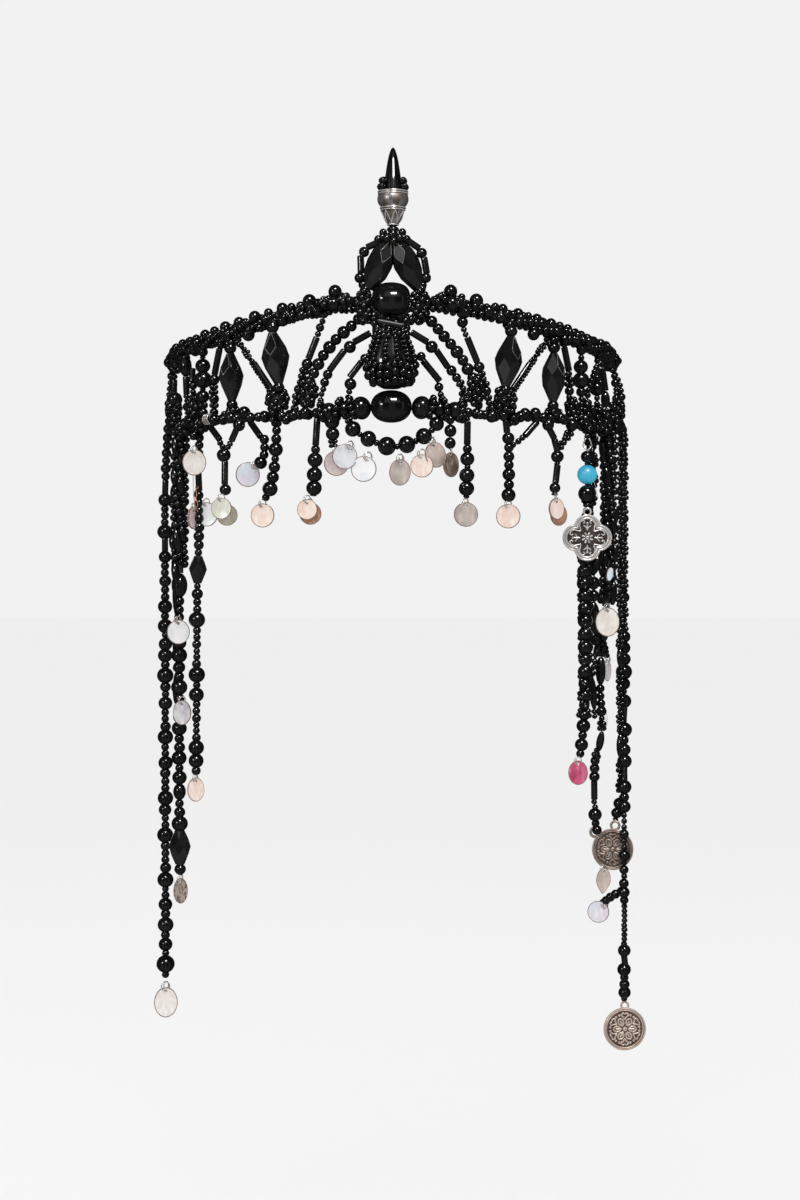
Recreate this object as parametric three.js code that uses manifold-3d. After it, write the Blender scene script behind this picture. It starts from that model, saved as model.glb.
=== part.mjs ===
// Beaded headdress, modelled in millimetres with +Z up.
// The band is half a ring that is open at the back. The front of the head faces -Y, and +X is to the
// right as seen from the front. The origin is the centre of the band's plan at its bottom rail, so it
// is the point of the head that the band sits round.
import * as THREE from "three";
import { mergeVertices } from "three/addons/utils/BufferGeometryUtils.js";
import Module from "manifold-3d";

const wasm = await Module();
wasm.setup();

// Driving dimensions, in millimetres and degrees.
const BAND_RADIUS = 84; // from the head's axis to the middle of the beads
const BAND_REACH = 88; // the rails end this far round to each side, in degrees
const TOP_RAIL_END = 22.5; // height of the top rail at the ears
const TOP_RAIL_RISE = 13; // and how much higher it is over the forehead
const BOTTOM_RAIL_DIP = -2.4; // the bottom rail's height beside the temples
const RAIL_CORE = 1.7; // radius of the wound seed beads in a rail
const RAIL_SEAT = 2.45; // a string starts this far from a rail's middle
const THREAD = 0.9; // radius of a single row of seed beads
const SEED = 1.55; // length of one seed bead along its string
const BUGLE_RADIUS = 1.1;
const BEAD_FLATTEN = 0.9; // a round bead's length over its diameter
const CLEARANCE = 0.3; // air left between two neighbouring pieces
const SIDES = 10; // sides of round beads and of the strings that hold them
const TUBE_SIDES = 8; // sides of a string of seed beads and bugles alone
const DISC_THICKNESS = 0.8;
const DISC_SIDES = 10;
const HANGER_RADIUS = 0.32; // the wire that a disc hangs on
const HANGER_SIDES = 5;
const HANGER_DROP = 2.4; // a string ends this far above the disc's edge
const HANGER_START = 0.5; // its wire starts this far up inside the string
const HANGER_BITE = 1.2; // and its wire goes this far into the disc
const FACETS = 8; // sides of the cut drops

// Finishes.
const glass = new THREE.MeshStandardMaterial({ color: 0x0c0c0f, roughness: 0.12, metalness: 0 });
const silver = new THREE.MeshStandardMaterial({ color: 0xb4aca0, roughness: 0.35, metalness: 1 });
const pearl = new THREE.MeshStandardMaterial({ color: 0xd8cdc2, roughness: 0.25, metalness: 0 });
const stone = new THREE.MeshStandardMaterial({ color: 0x19a8c8, roughness: 0.4, metalness: 0 });

const headdress = new THREE.Group();
headdress.name = "beaded_headdress";

// Geometry helpers.
const radians = THREE.MathUtils.degToRad;

// A point on the band's surface: its angle round the head, its height, and how far out it stands.
function onBand(angle, z, out = 0) {
  const radius = BAND_RADIUS + out;
  const turn = radians(angle);
  return new THREE.Vector3(radius * Math.sin(turn), -radius * Math.cos(turn), z);
}

function topRailHeight(angle) {
  return TOP_RAIL_END + TOP_RAIL_RISE * Math.abs(Math.cos(radians(angle))) ** 3;
}

function bottomRailHeight(angle) {
  return BOTTOM_RAIL_DIP * THREE.MathUtils.smoothstep(Math.abs(angle), 4, 26);
}

// A station's height is a number, or the name of the seat on a rail that the string ends at.
function stationHeight(angle, height) {
  if (height === "top") return topRailHeight(angle) - RAIL_SEAT;
  if (height === "bottom") return bottomRailHeight(angle) + RAIL_SEAT;
  if (height === "under") return bottomRailHeight(angle) - RAIL_SEAT;
  return height;
}

function pathThrough(stations) {
  const points = stations.map(([angle, height, out = 0]) =>
    onBand(angle, stationHeight(angle, height), out),
  );
  return new THREE.CatmullRomCurve3(points, false, "centripetal");
}

// A closed three.js geometry as a solid.
function solidOf(geometry) {
  const plain = geometry.clone();
  for (const name of Object.keys(plain.attributes)) {
    if (name !== "position") plain.deleteAttribute(name);
  }
  const merged = mergeVertices(plain, 1e-4);
  const corners = merged.index.array;
  const triangles = [];
  for (let i = 0; i < corners.length; i += 3) {
    const [a, b, c] = corners.subarray(i, i + 3);
    if (a !== b && b !== c && c !== a) triangles.push(a, b, c);
  }
  const mesh = new wasm.Mesh({
    numProp: 3,
    vertProperties: new Float32Array(merged.attributes.position.array),
    triVerts: new Uint32Array(triangles),
  });
  return new wasm.Manifold(mesh);
}

function joined(solids) {
  return solids.reduce((whole, solid) => whole.add(solid));
}

function addPiece(name, material, solid) {
  const mesh = solid.getMesh();
  const geometry = new THREE.BufferGeometry();
  geometry.setAttribute("position", new THREE.BufferAttribute(mesh.vertProperties, 3));
  geometry.setIndex(new THREE.BufferAttribute(mesh.triVerts, 1));
  geometry.computeVertexNormals();
  const piece = new THREE.Mesh(geometry, material);
  piece.name = name;
  headdress.add(piece);
}

// A turned body about the Y axis from rows of [distance along, radius], closed at both ends.
function turned(rows, sides = SIDES) {
  const first = rows[0][0];
  const last = rows[rows.length - 1][0];
  const points = rows.map(([along, radius]) => new THREE.Vector2(radius, along));
  points.unshift(new THREE.Vector2(0, first));
  points.push(new THREE.Vector2(0, last));
  return new THREE.LatheGeometry(points, sides);
}

// Moves a body that is turned about the Y axis so that its axis follows a curve.
function bentAlong(geometry, curve) {
  const length = curve.getLength();
  const position = geometry.attributes.position;
  for (let i = 0; i < position.count; i++) {
    const share = THREE.MathUtils.clamp(position.getY(i) / length, 0, 1);
    const centre = curve.getPointAt(share);
    const tangent = curve.getTangentAt(share);
    const outward = new THREE.Vector3(centre.x, centre.y, 0);
    outward.addScaledVector(tangent, -outward.dot(tangent)).normalize();
    const across = new THREE.Vector3().crossVectors(tangent, outward);
    centre.addScaledVector(across, position.getX(i)).addScaledVector(outward, position.getZ(i));
    position.setXYZ(i, centre.x, centre.y, centre.z);
  }
  return geometry;
}

// Bead charts. A chart names the beads of a string in order:
// 5s is five seed beads, o4.4 a round bead of that diameter, b7 a bugle of that length,
// f7x12 a long bead and t5x40 a thick bundle of strands, each by width and length.
function beadsOf(chart, smallest) {
  return chart.split(" ").map((word) => {
    const count = /^(\d+)s$/.exec(word);
    if (count) return { kind: "seeds", length: Number(count[1]) * SEED };
    const kind = word[0];
    const [width, length] = word.slice(1).split("x").map(Number);
    if (kind === "o" && width < smallest) return { kind: "seeds", length: width * BEAD_FLATTEN };
    if (kind === "o") return { kind: "round", width, length: width * BEAD_FLATTEN };
    if (kind === "b") return { kind: "bugle", width: 2 * BUGLE_RADIUS, length: width };
    if (kind === "t") return { kind: "bundle", width, length };
    return { kind: "long", width, length };
  });
}

// Where each kind of bead is widest: rows of [share of its length, share of its radius].
const BEAD_PROFILES = {
  round: [
    [0.3, 0.97],
    [0.7, 0.97],
  ],
  small: [[0.5, 1]],
  bugle: [
    [0.08, 1],
    [0.92, 1],
  ],
  bundle: [
    [0.1, 0.95],
    [0.9, 0.95],
  ],
  long: [
    [0.22, 0.92],
    [0.78, 0.92],
  ],
};
const LARGE_BEAD = 5.6; // a round bead of this diameter or more gets two rows
const SMALL_BEAD = 4.9; // one below this diameter is part of the string's even core
const SMALL_RAIL_BEAD = 4; // and on the bottom rail, one below this
const CURVE_STEP = 12; // the longest stretch of a string without a row, in millimetres
const SHORT_RUN = 7; // a run of seed beads up to this length is one narrow row at its middle

// The rows of a whole string. Its seed beads are spread so that the chart fills the path.
function stringRows(chart, length, core, smallest) {
  const beads = beadsOf(chart, smallest).reduce((list, bead) => {
    const before = list[list.length - 1];
    if (bead.kind === "seeds" && before?.kind === "seeds") before.length += bead.length;
    else list.push(bead);
    return list;
  }, []);
  const seeds = beads.filter((bead) => bead.kind === "seeds").reduce((sum, bead) => sum + bead.length, 0);
  const others = beads.reduce((sum, bead) => sum + bead.length, 0) - seeds;
  const seedStretch = seeds > 0 ? Math.max(0.2, (length - others) / seeds) : 1;
  const scale = length / (others + seeds * seedStretch);
  const rows = [[0, core]];
  let along = 0;
  let afterBead = false; // no narrow row stands yet behind the last bead
  for (const { kind, width, length: natural } of beads) {
    const span = natural * scale * (kind === "seeds" ? seedStretch : 1);
    if (kind === "seeds" && span < SHORT_RUN) {
      rows.push([along + span / 2, core]);
      afterBead = false;
    } else if (kind === "seeds") {
      const steps = Math.ceil(span / CURVE_STEP);
      for (let i = afterBead ? 0 : 1; i <= steps; i++) rows.push([along + (span * i) / steps, core]);
      afterBead = false;
    } else {
      if (afterBead) rows.push([along, core]);
      const profile = BEAD_PROFILES[kind === "round" && width < LARGE_BEAD ? "small" : kind];
      for (const [share, swell] of profile) {
        rows.push([along + share * span, Math.max(core, (swell * width) / 2)]);
      }
      afterBead = true;
    }
    along += span;
  }
  if (afterBead || rows[rows.length - 1][0] < length - 0.1) rows.push([length, core]);
  return rows;
}

function stringSolid(chart, stations, core = THREAD, smallest = SMALL_BEAD) {
  const curve = pathThrough(stations);
  const fine = beadsOf(chart, smallest).every(({ kind }) => kind === "seeds" || kind === "bugle");
  const rows = stringRows(chart, curve.getLength(), core, smallest);
  return solidOf(bentAlong(turned(rows, fine ? TUBE_SIDES : SIDES), curve));
}

// Small pieces that are placed in a string.
function ballAt(centre, width, height = width, sides = SIDES) {
  const rows = [
    [-0.42 * height, 0.26 * width],
    [0, 0.5 * width],
    [0.42 * height, 0.26 * width],
  ];
  const ball = turned(rows, sides).rotateX(Math.PI / 2);
  return solidOf(ball.translate(centre.x, centre.y, centre.z));
}

// A straight round rod between two points.
function rodBetween(from, to, radius, sides) {
  const axis = new THREE.Vector3().subVectors(to, from);
  const rod = turned([[0, radius], [axis.length(), radius]], sides);
  rod.applyQuaternion(
    new THREE.Quaternion().setFromUnitVectors(new THREE.Vector3(0, 1, 0), axis.normalize()),
  );
  return solidOf(rod.translate(from.x, from.y, from.z));
}

// A disc and the wire that it hangs on from a point. Columns of a disc: angle, height of its
// middle, width, height, turn about the vertical, out.
function hangingDisc([angle, z, wide, tall, turn = 0, out = 0], from) {
  const middle = onBand(angle, z, out);
  const disc = new THREE.CylinderGeometry(tall / 2, tall / 2, DISC_THICKNESS, DISC_SIDES);
  disc.scale(wide / tall, 1, 1).rotateZ(radians(turn));
  disc.translate(middle.x, middle.y, middle.z);
  const grip = middle.clone();
  grip.z += tall / 2 - HANGER_BITE;
  const start = from.clone().setZ(from.z + HANGER_START);
  return solidOf(disc).add(rodBetween(start, grip, HANGER_RADIUS, HANGER_SIDES));
}

// The height at which a string ends above a disc.
function endAbove([, z, , tall]) {
  return z + tall / 2 + HANGER_DROP;
}

// Rails.
// Beads that stand out of a rail: [angle, height above its middle line, diameter].
const TOP_RAIL_BEADS = [
  [-14, 3.2, 4.4],
  [-22, 3, 4.5],
  [-35, 2.8, 4.2],
  [14, 3.2, 4.5],
  [22, 2.9, 4.2],
  [34, 2.8, 4],
];
// Clusters of seed beads beside the cabochon: [x, height, width, tall].
const CABOCHON_CLUSTERS = [
  [-10.2, 35.6, 4.6, 8.6],
  [8.6, 35.2, 4.6, 8.6],
];
const RAIL_STEP = 4; // degrees between the points that a rail's curve passes through

function railPath(from, to, heightAt) {
  const steps = Math.round(Math.abs(to - from) / RAIL_STEP);
  const stations = [];
  for (let i = 0; i <= steps; i++) {
    const angle = from + ((to - from) * i) / steps;
    stations.push([angle, heightAt(angle)]);
  }
  return stations;
}

const TOP_RAIL_CHART = "80s";
const BOTTOM_RAIL_CHART = "f7.8x6.1 o4.5 2s o4.5 14s o4.5 22s o4.5 22s o4.5 8s";
const BOTTOM_RAIL_START = 5.6; // degrees from the middle to the first bead beside the oval

function addRails() {
  const rail = stringSolid(TOP_RAIL_CHART, railPath(-BAND_REACH, BAND_REACH, topRailHeight), RAIL_CORE);
  const proud = TOP_RAIL_BEADS.map(([angle, rise, width]) =>
    ballAt(onBand(angle, topRailHeight(angle) + rise), width),
  );
  const clusters = CABOCHON_CLUSTERS.map(([x, z, width, tall]) =>
    ballAt(new THREE.Vector3(x, -BAND_RADIUS + 0.5, z), width, tall),
  );
  addPiece("top_rail", glass, joined([rail, ...proud, ...clusters]));
  for (const [side, sign] of [
    ["left", -1],
    ["right", 1],
  ]) {
    const stations = railPath(sign * BOTTOM_RAIL_START, sign * BAND_REACH, bottomRailHeight);
    const string = stringSolid(BOTTOM_RAIL_CHART, stations, RAIL_CORE, SMALL_RAIL_BEAD);
    addPiece(`bottom_rail_${side}`, glass, string);
  }
}

// Lattice strings between the rails, for one side. Columns: name, chart, stations of
// [angle, height], where top and bottom are the rails' seats, and the radius between the beads.
const ARCH_CORE = 1.6; // the arch is small beads all the way
const LATTICE_LEFT = [
  ["arch", "2s o3.4 o3.4 o4 o3.4 o4 o3.4 o3.8 o3.4 o3.6 2s",
    [[-8.6, 30.4], [-9.6, 27.6], [-12.6, 24.6], [-15.8, 19.8], [-18.4, 14.2], [-21, 7], [-21.8, "bottom"]],
    ARCH_CORE],
  ["upper_leg", "1s b6.5 o3.4 b9 2s", [[-5.9, 24.2], [-9.6, 20.9], [-15.4, 12], [-18, "bottom"]]],
  ["lower_leg", "o3.2 b6.6 o3.4", [[-7, 15.8], [-10, 8.6], [-11.4, "bottom"]]],
  ["stay", "4s b8 o3.6 4s o3 2s", [[-16.4, "top"], [-18.2, 26], [-20.6, 18], [-24, 8], [-25.4, "bottom"]]],
  ["diagonal", "5s b7.5", [[-40.4, 24.6], [-39.2, 21.8], [-31.2, 8.2], [-30.6, "bottom"]]],
  ["bugle_post", "o3 b9.6 4s o3", [[-46.2, "top"], [-49, 13], [-49.2, "bottom"]]],
  ["bead_post", "o3.4 o4 o5.4 o5.8 2s o3.4", [[-54, "top"], [-54, "bottom"]]],
  ["end_post", "f6x5 b5.4 2s", [[-64, "top"], [-62, "bottom"]]],
  ["end_string", "o3.2 8s o3.7 o5", [[-76, "top"], [-79, 14], [-73, "bottom"]]],
];
const LATTICE_RIGHT = [
  ["arch", "2s o3.6 o3.4 o3.6 o3.4 o4 o3.4 o3.8 o3.4 o3.4 2s",
    [[8, 30.6], [9, 28], [11.6, 24], [15.4, 17.8], [18, 12], [20, 6.6], [20.4, "bottom"]], ARCH_CORE],
  ["upper_leg", "1s b6.5 o3.4 b7 3s", [[4.3, 24.8], [8, 21], [13, 13], [16.2, 6], [16.4, "bottom"]]],
  ["lower_leg", "o3.2 b7 o3", [[6, 15.8], [10.6, 6.6], [11.4, "bottom"]]],
  ["stay", "1s o5.4 b9.4 o3.4 3s o2.8 2s",
    [[16.2, "top"], [16.5, 27], [19, 18], [22, 8], [24.4, "bottom"]]],
  ["diagonal", "5s b7.5", [[38.8, 24.6], [37.6, 21.6], [29.6, 7.6], [28.8, "bottom"]]],
  ["bugle_post", "o3 b8.6 4s o3 2s", [[44.4, "top"], [46.5, 13], [46.9, "bottom"]]],
  ["bead_post", "o3.4 2s o4.8 o5.4 2s o4", [[51.6, "top"], [51.6, 10], [54, "bottom"]]],
  ["end_post", "3s o3 b10", [[63.6, "top"], [64.4, "bottom"]]],
  ["end_string", "o4 3s o4.4 4s o4.4", [[71.4, "top"], [70.8, 15], [76, "bottom"]]],
];

function addLattice() {
  for (const [side, rows] of [
    ["left", LATTICE_LEFT],
    ["right", LATTICE_RIGHT],
  ]) {
    for (const [name, chart, stations, core] of rows) {
      addPiece(`${name}_${side}`, glass, stringSolid(chart, stations, core));
    }
  }
}

// Cut drops: rows of [share of the length from its top, share of the widest radius]. Both ends are
// cut off flat, and the widest girdle is a band of facets.
const CUT_DROP = [
  [0, 0.3],
  [0.07, 0.42],
  [0.3, 0.8],
  [0.48, 1],
  [0.68, 0.8],
  [0.93, 0.4],
  [1, 0.3],
];
// A cut drop between two points, with a little of its thread showing above and below.
function cutDrop(top, foot, width, topThread, footThread) {
  const axis = new THREE.Vector3().subVectors(foot, top);
  const length = axis.length();
  const rows = CUT_DROP.map(([share, swell]) => [share * length, (swell * width) / 2]);
  if (topThread > 0) rows.unshift([-topThread, THREAD], [-0.2, THREAD]);
  if (footThread > 0) rows.push([length + 0.2, THREAD], [length + footThread, THREAD]);
  const body = turned(rows, FACETS).rotateY(Math.PI / FACETS);
  body.applyQuaternion(
    new THREE.Quaternion().setFromUnitVectors(new THREE.Vector3(0, 1, 0), axis.normalize()),
  );
  return solidOf(body.translate(top.x, top.y, top.z));
}

// Columns: name, angle, top height, foot height, width.
const PANEL_DROPS = [
  ["panel_drop_left_inner", -29, -28.6, 26.2, 8.8, 9.6],
  ["panel_drop_left_outer", -42.2, -42.3, 20.2, 3.6, 8.6],
  ["panel_drop_right_inner", 27.8, 26.8, 24.8, 7.8, 9.5],
  ["panel_drop_right_outer", 40.5, 40, 20.2, 3.2, 8.6],
];
const PANEL_DROP_OUT = 1.2; // the drops stand a little in front of the rails

function addPanelDrops() {
  for (const [name, topAngle, footAngle, topHeight, footHeight, width] of PANEL_DROPS) {
    const top = onBand(topAngle, topHeight, PANEL_DROP_OUT);
    const foot = onBand(footAngle, footHeight, PANEL_DROP_OUT);
    const topThread = topRailHeight(topAngle) - RAIL_SEAT - topHeight;
    const footThread = footHeight - bottomRailHeight(footAngle) - RAIL_SEAT;
    addPiece(name, glass, cutDrop(top, foot, width, topThread, footThread));
  }
}

// Centre pieces.
const CENTRE_X = -1.2; // the middle of the cabochon and the drop below it
const CABOCHON = { z: 36.2, wide: 12.5, tall: 13, back: 2.2, deep: 5 };
const WRAPPED_DROP = { top: 26.3, foot: 6, wide: 18.2, deep: 13.4, out: 1.6 };
const OVAL_BEAD = { z: 0, wide: 13.2, tall: 10.7 };

function addCentre() {
  const { z, wide, tall, back, deep } = CABOCHON;
  const domeRows = [
    [0, wide / 2],
    [deep * 0.34, wide / 2],
    [deep * 0.72, wide * 0.4],
    [deep * 0.93, wide * 0.24],
    [deep, wide * 0.08],
  ];
  const dome = turned(domeRows, 16).scale(1, 1, tall / wide).rotateZ(Math.PI);
  dome.translate(CENTRE_X, -BAND_RADIUS - back, z);
  addPiece("cabochon", glass, solidOf(dome));

  const length = WRAPPED_DROP.top - WRAPPED_DROP.foot;
  const half = WRAPPED_DROP.wide / 2;
  const dropRows = [
    [0, half * 0.42],
    [0.07 * length, half * 0.76],
    [0.2 * length, half * 0.95],
    [0.33 * length, half],
    [0.5 * length, half * 0.93],
    [0.68 * length, half * 0.79],
    [0.9 * length, half * 0.62],
    [length, half * 0.5],
  ];
  const pear = turned(dropRows, 16).rotateX(Math.PI / 2);
  pear.scale(1, WRAPPED_DROP.deep / WRAPPED_DROP.wide, 1);
  pear.translate(CENTRE_X, -BAND_RADIUS - WRAPPED_DROP.out, WRAPPED_DROP.foot);
  addPiece("wrapped_drop", glass, solidOf(pear));

  const oval = OVAL_BEAD.wide / 2;
  const ovalRows = [
    [-oval, 1.5],
    [-oval * 0.8, OVAL_BEAD.tall * 0.33],
    [-oval * 0.4, OVAL_BEAD.tall * 0.47],
    [0, OVAL_BEAD.tall / 2],
    [oval * 0.4, OVAL_BEAD.tall * 0.47],
    [oval * 0.8, OVAL_BEAD.tall * 0.33],
    [oval, 1.5],
  ];
  const bead = turned(ovalRows, 14).rotateZ(Math.PI / 2);
  addPiece("oval_bead", glass, solidOf(bead.translate(CENTRE_X, -BAND_RADIUS, OVAL_BEAD.z)));

  const bugle = stringSolid("b8", [[-3.9, 29.8, 0.7], [1.6, 28, 0.7]]);
  addPiece("centre_bugle", glass, bugle);
}

// Crest.
const SPIKE = { foot: 73.9, tip: 88.2, width: 5.6 };
const COLLAR = { radius: 5.1, tall: 3.4 }; // the beads wound round the spike's foot
const CAP = { foot: 61.6 };
// Heights above the foot of the cap and radii.
const CAP_ROWS = [
  [0, 1.8],
  [1.3, 2.5],
  [2.8, 3.3],
  [5, 4],
  [5.8, 4.4],
  [6.6, 4.3],
  [7.3, 4.9],
  [8.8, 5.35],
  [10.6, 5],
  [11.2, 5.2],
  [12, 5],
];
// Beads in the cluster under the cap: [x, y offset, z, diameter].
const CLUSTER_BEADS = [
  [-3.6, -0.8, 59, 3.4],
  [2.5, -0.8, 59, 3.4],
  [-0.6, -2, 57.6, 3.4],
  [-5.3, 0, 56.6, 3.6],
  [4.2, 0, 56.6, 3.6],
];
const CREST_X = -0.6;

function addCrest() {
  const depth = -BAND_RADIUS;
  const cap = turned(CAP_ROWS, 14).rotateX(Math.PI / 2);
  addPiece("silver_cap", silver, solidOf(cap.translate(CREST_X, depth, CAP.foot)));

  const tall = SPIKE.tip - SPIKE.foot;
  const half = SPIKE.width / 2;
  const spikeRows = [
    [0, COLLAR.radius * 0.86],
    [COLLAR.tall * 0.3, COLLAR.radius],
    [COLLAR.tall * 0.8, COLLAR.radius * 0.86],
    [COLLAR.tall, half],
    [0.4 * tall, half * 0.8],
    [0.7 * tall, half * 0.5],
    [0.94 * tall, half * 0.24],
    [tall, half * 0.1],
  ];
  const spike = turned(spikeRows, SIDES).rotateX(Math.PI / 2);
  addPiece("spike", glass, solidOf(spike.translate(CREST_X, depth, SPIKE.foot)));

  const coreRows = [[54.6, 1.4], [57, 3], [59.4, 2.8], [CAP.foot - CLEARANCE, 1.2]];
  const core = turned(coreRows).rotateX(Math.PI / 2);
  const balls = CLUSTER_BEADS.map(([x, y, z, width]) => ballAt(new THREE.Vector3(x, depth + y, z), width));
  addPiece("crest_cluster", glass, joined([solidOf(core.translate(CREST_X, depth, 0)), ...balls]));

  const drops = [
    ["crest_drop_left", [-2.8, 54], [-8.8, 41.4]],
    ["crest_drop_right", [1.6, 54], [8.2, 41.4]],
  ];
  for (const [name, [topX, topZ], [footX, footZ]] of drops) {
    const top = new THREE.Vector3(topX, depth, topZ);
    const foot = new THREE.Vector3(footX, depth, footZ);
    addPiece(name, glass, cutDrop(top, foot, 7.9, 0, 1));
  }
  const sides = [
    ["crest_side_left", "b4 o3.6 b6 o3.6 1s", [[-5.1, 56], [-8.2, 52], [-8.7, 45], [-7.6, 40.3]]],
    ["crest_side_right", "b4 o3.6 b5.4 o3.6 1s", [[4.5, 56.2], [7.6, 52.6], [8.6, 45], [6.8, 40]]],
  ];
  for (const [name, chart, stations] of sides) addPiece(name, glass, stringSolid(chart, stations));
}

// Short drops of the fringe. A string's last station may be "disc": it then ends just above its
// first disc. Columns: name, strings as [chart, stations], discs.
const DROPS = [
  ["drop_1", [["7s b6 o3.4 2s", [[-57.8, "under", 0.4], [-57.4, -14, 1.4], [-56.4, "disc", 1.6]]]],
    [[-57.2, -36.2, 7.9, 7.9, 63, 1.6],
      [-54.9, -35.2, 8.4, 8.4, -12, 2.8],
      [-58.4, -17, 8.2, 10.8, 10, 3.4, [-57.8, -9.6, 0.9]]]],
  ["drop_2", [
    ["b7.6 1s o4.6 b8.2 o3.2", [[-50.6, "under"], [-46, -12], [-45.4, -15], [-44.8, "disc"]]],
    ["b6.6 1s", [[-40.4, "under"], [-44, -12.4], [-45, -14.4]]]],
    [[-44.8, -34.4, 8.6, 8.6, -14], [-45.6, -33, 7.6, 7.6, 36, -1]]],
  ["drop_3", [["b7.4 o3.4 o3.2 o3.2 1s", [[-36.6, "under"], [-32.8, -11], [-34, -16], [-36.6, "disc"]]]],
    [[-37.4, -22, 8.6, 8.6, 18, 0.4]]],
  ["drop_4", [["5s o4.6 3s o2.8 o4.4 2s o4.8 2s",
    [[-28.9, "under"], [-29.4, -18], [-31, -28], [-32.4, "disc"]]]],
    [[-32.9, -36.6, 8.3, 8.3, -10]]],
  ["drop_5", [["b7.8 o3.2 o4.8 3s o5 1s o5 1s", [[-18.3, "under"], [-18.6, -16], [-19.2, "disc"]]]],
    [[-19.6, -35.8, 7.8, 7.8, -20], [-20.6, -34.8, 7.4, 7.4, 30, 1]]],
  ["drop_6", [["o4.8 o4.2 2s", [[-14.8, "under"], [-14.4, "disc"]]]],
    [[-13.9, -20.4, 8.2, 8.2, 8]]],
  ["drop_7", [["2s o3.8 2s", [[13.6, "under"], [13.7, "disc"]]]],
    [[13.8, -19.6, 8.5, 8.5, 55]]],
  ["drop_8", [["b7.8 1s o4.6 1s o4.8 1s o4.8 2s", [[17.4, "under"], [17.3, -22], [17, "disc"]]]],
    [[17, -36.4, 8.4, 8.4, 10]]],
  ["drop_9", [
    ["b4.4 o3.2 2s o3 3s o4.6 o4.2 o4.6 1s", [[27.4, "under"], [28.2, -12], [28.1, "disc"]]],
    ["b6.6 1s", [[35.6, "under"], [30.6, -10.8], [28.6, -12.8]]]],
    [[28.1, -36.6, 8.4, 8.4, -8]]],
  ["drop_10", [
    ["b6.4 b3.6 o4.4 1s b5.8 o3 1s", [[38.8, "under"], [42, -11.8], [42.4, -18], [41.4, "disc"]]],
    ["6s", [[48.6, "under"], [44.4, -10.6], [42.8, -12.4]]]],
    [[41.3, -35.4, 8.8, 8.8, 42], [42.6, -34.4, 7.4, 7.4, -46, 1]]],
];

// The centre swag and its discs, which hang from its beads.
const SWAG = {
  chart: "2s o5 1s o4.9 1s o5.6 1s o5.2 1s o5.1 1s o4.9 2s",
  stations: [
    [-11.4, -3.3], [-9.7, -7.6], [-5.8, -11], [-1.6, -13.4], [2.6, -12.9], [6.2, -10.4], [9.2, -7],
    [10.9, "under"],
  ],
};
const SWAG_DISCS = [
  [-12, -15.4, 8.4, 8.4, 12, 0.6],
  [-7.2, -20.6, 8.6, 8.6, -8, 0],
  [1.2, -22.2, 7.4, 9, 10, 0],
  [6.3, -19.8, 7.9, 7.9, -10, 0.6],
  [10.3, -15.6, 7, 8.4, 16, 0.4],
];
// Where each disc's wire leaves the swag: [angle, height].
const SWAG_HANGERS = [
  [-9.8, -8],
  [-6.6, -10.6],
  [1.3, -13.6],
  [5.5, -11.2],
  [9.2, -7.6],
];

// The stations of a string, with its end put just above a disc where it says so.
function endedAbove(stations, disc) {
  return stations.map(([angle, height, out]) => [angle, height === "disc" ? endAbove(disc) : height, out]);
}

// The last point of a string.
function footOf(stations) {
  const [angle, height, out] = stations[stations.length - 1];
  return onBand(angle, stationHeight(angle, height), out);
}

// Strings fused with discs, which hang from the first one's foot or from a point of their own.
function hungWithDiscs(strings, discs) {
  const routes = strings.map(([chart, stations, core]) => [chart, endedAbove(stations, discs[0]), core]);
  const foot = footOf(routes[0][1]);
  const bodies = routes.map(([chart, stations, core]) => stringSolid(chart, stations, core));
  const hung = discs.map((disc) => hangingDisc(disc, disc[6] ? onBand(...disc[6]) : foot));
  return joined([...bodies, ...hung]);
}

function addFringe() {
  for (const [name, strings, discs] of DROPS) addPiece(name, pearl, hungWithDiscs(strings, discs));
  const discs = SWAG_DISCS.map((disc, i) => hangingDisc(disc, onBand(...SWAG_HANGERS[i])));
  addPiece("swag", pearl, joined([stringSolid(SWAG.chart, SWAG.stations), ...discs]));
}

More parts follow.
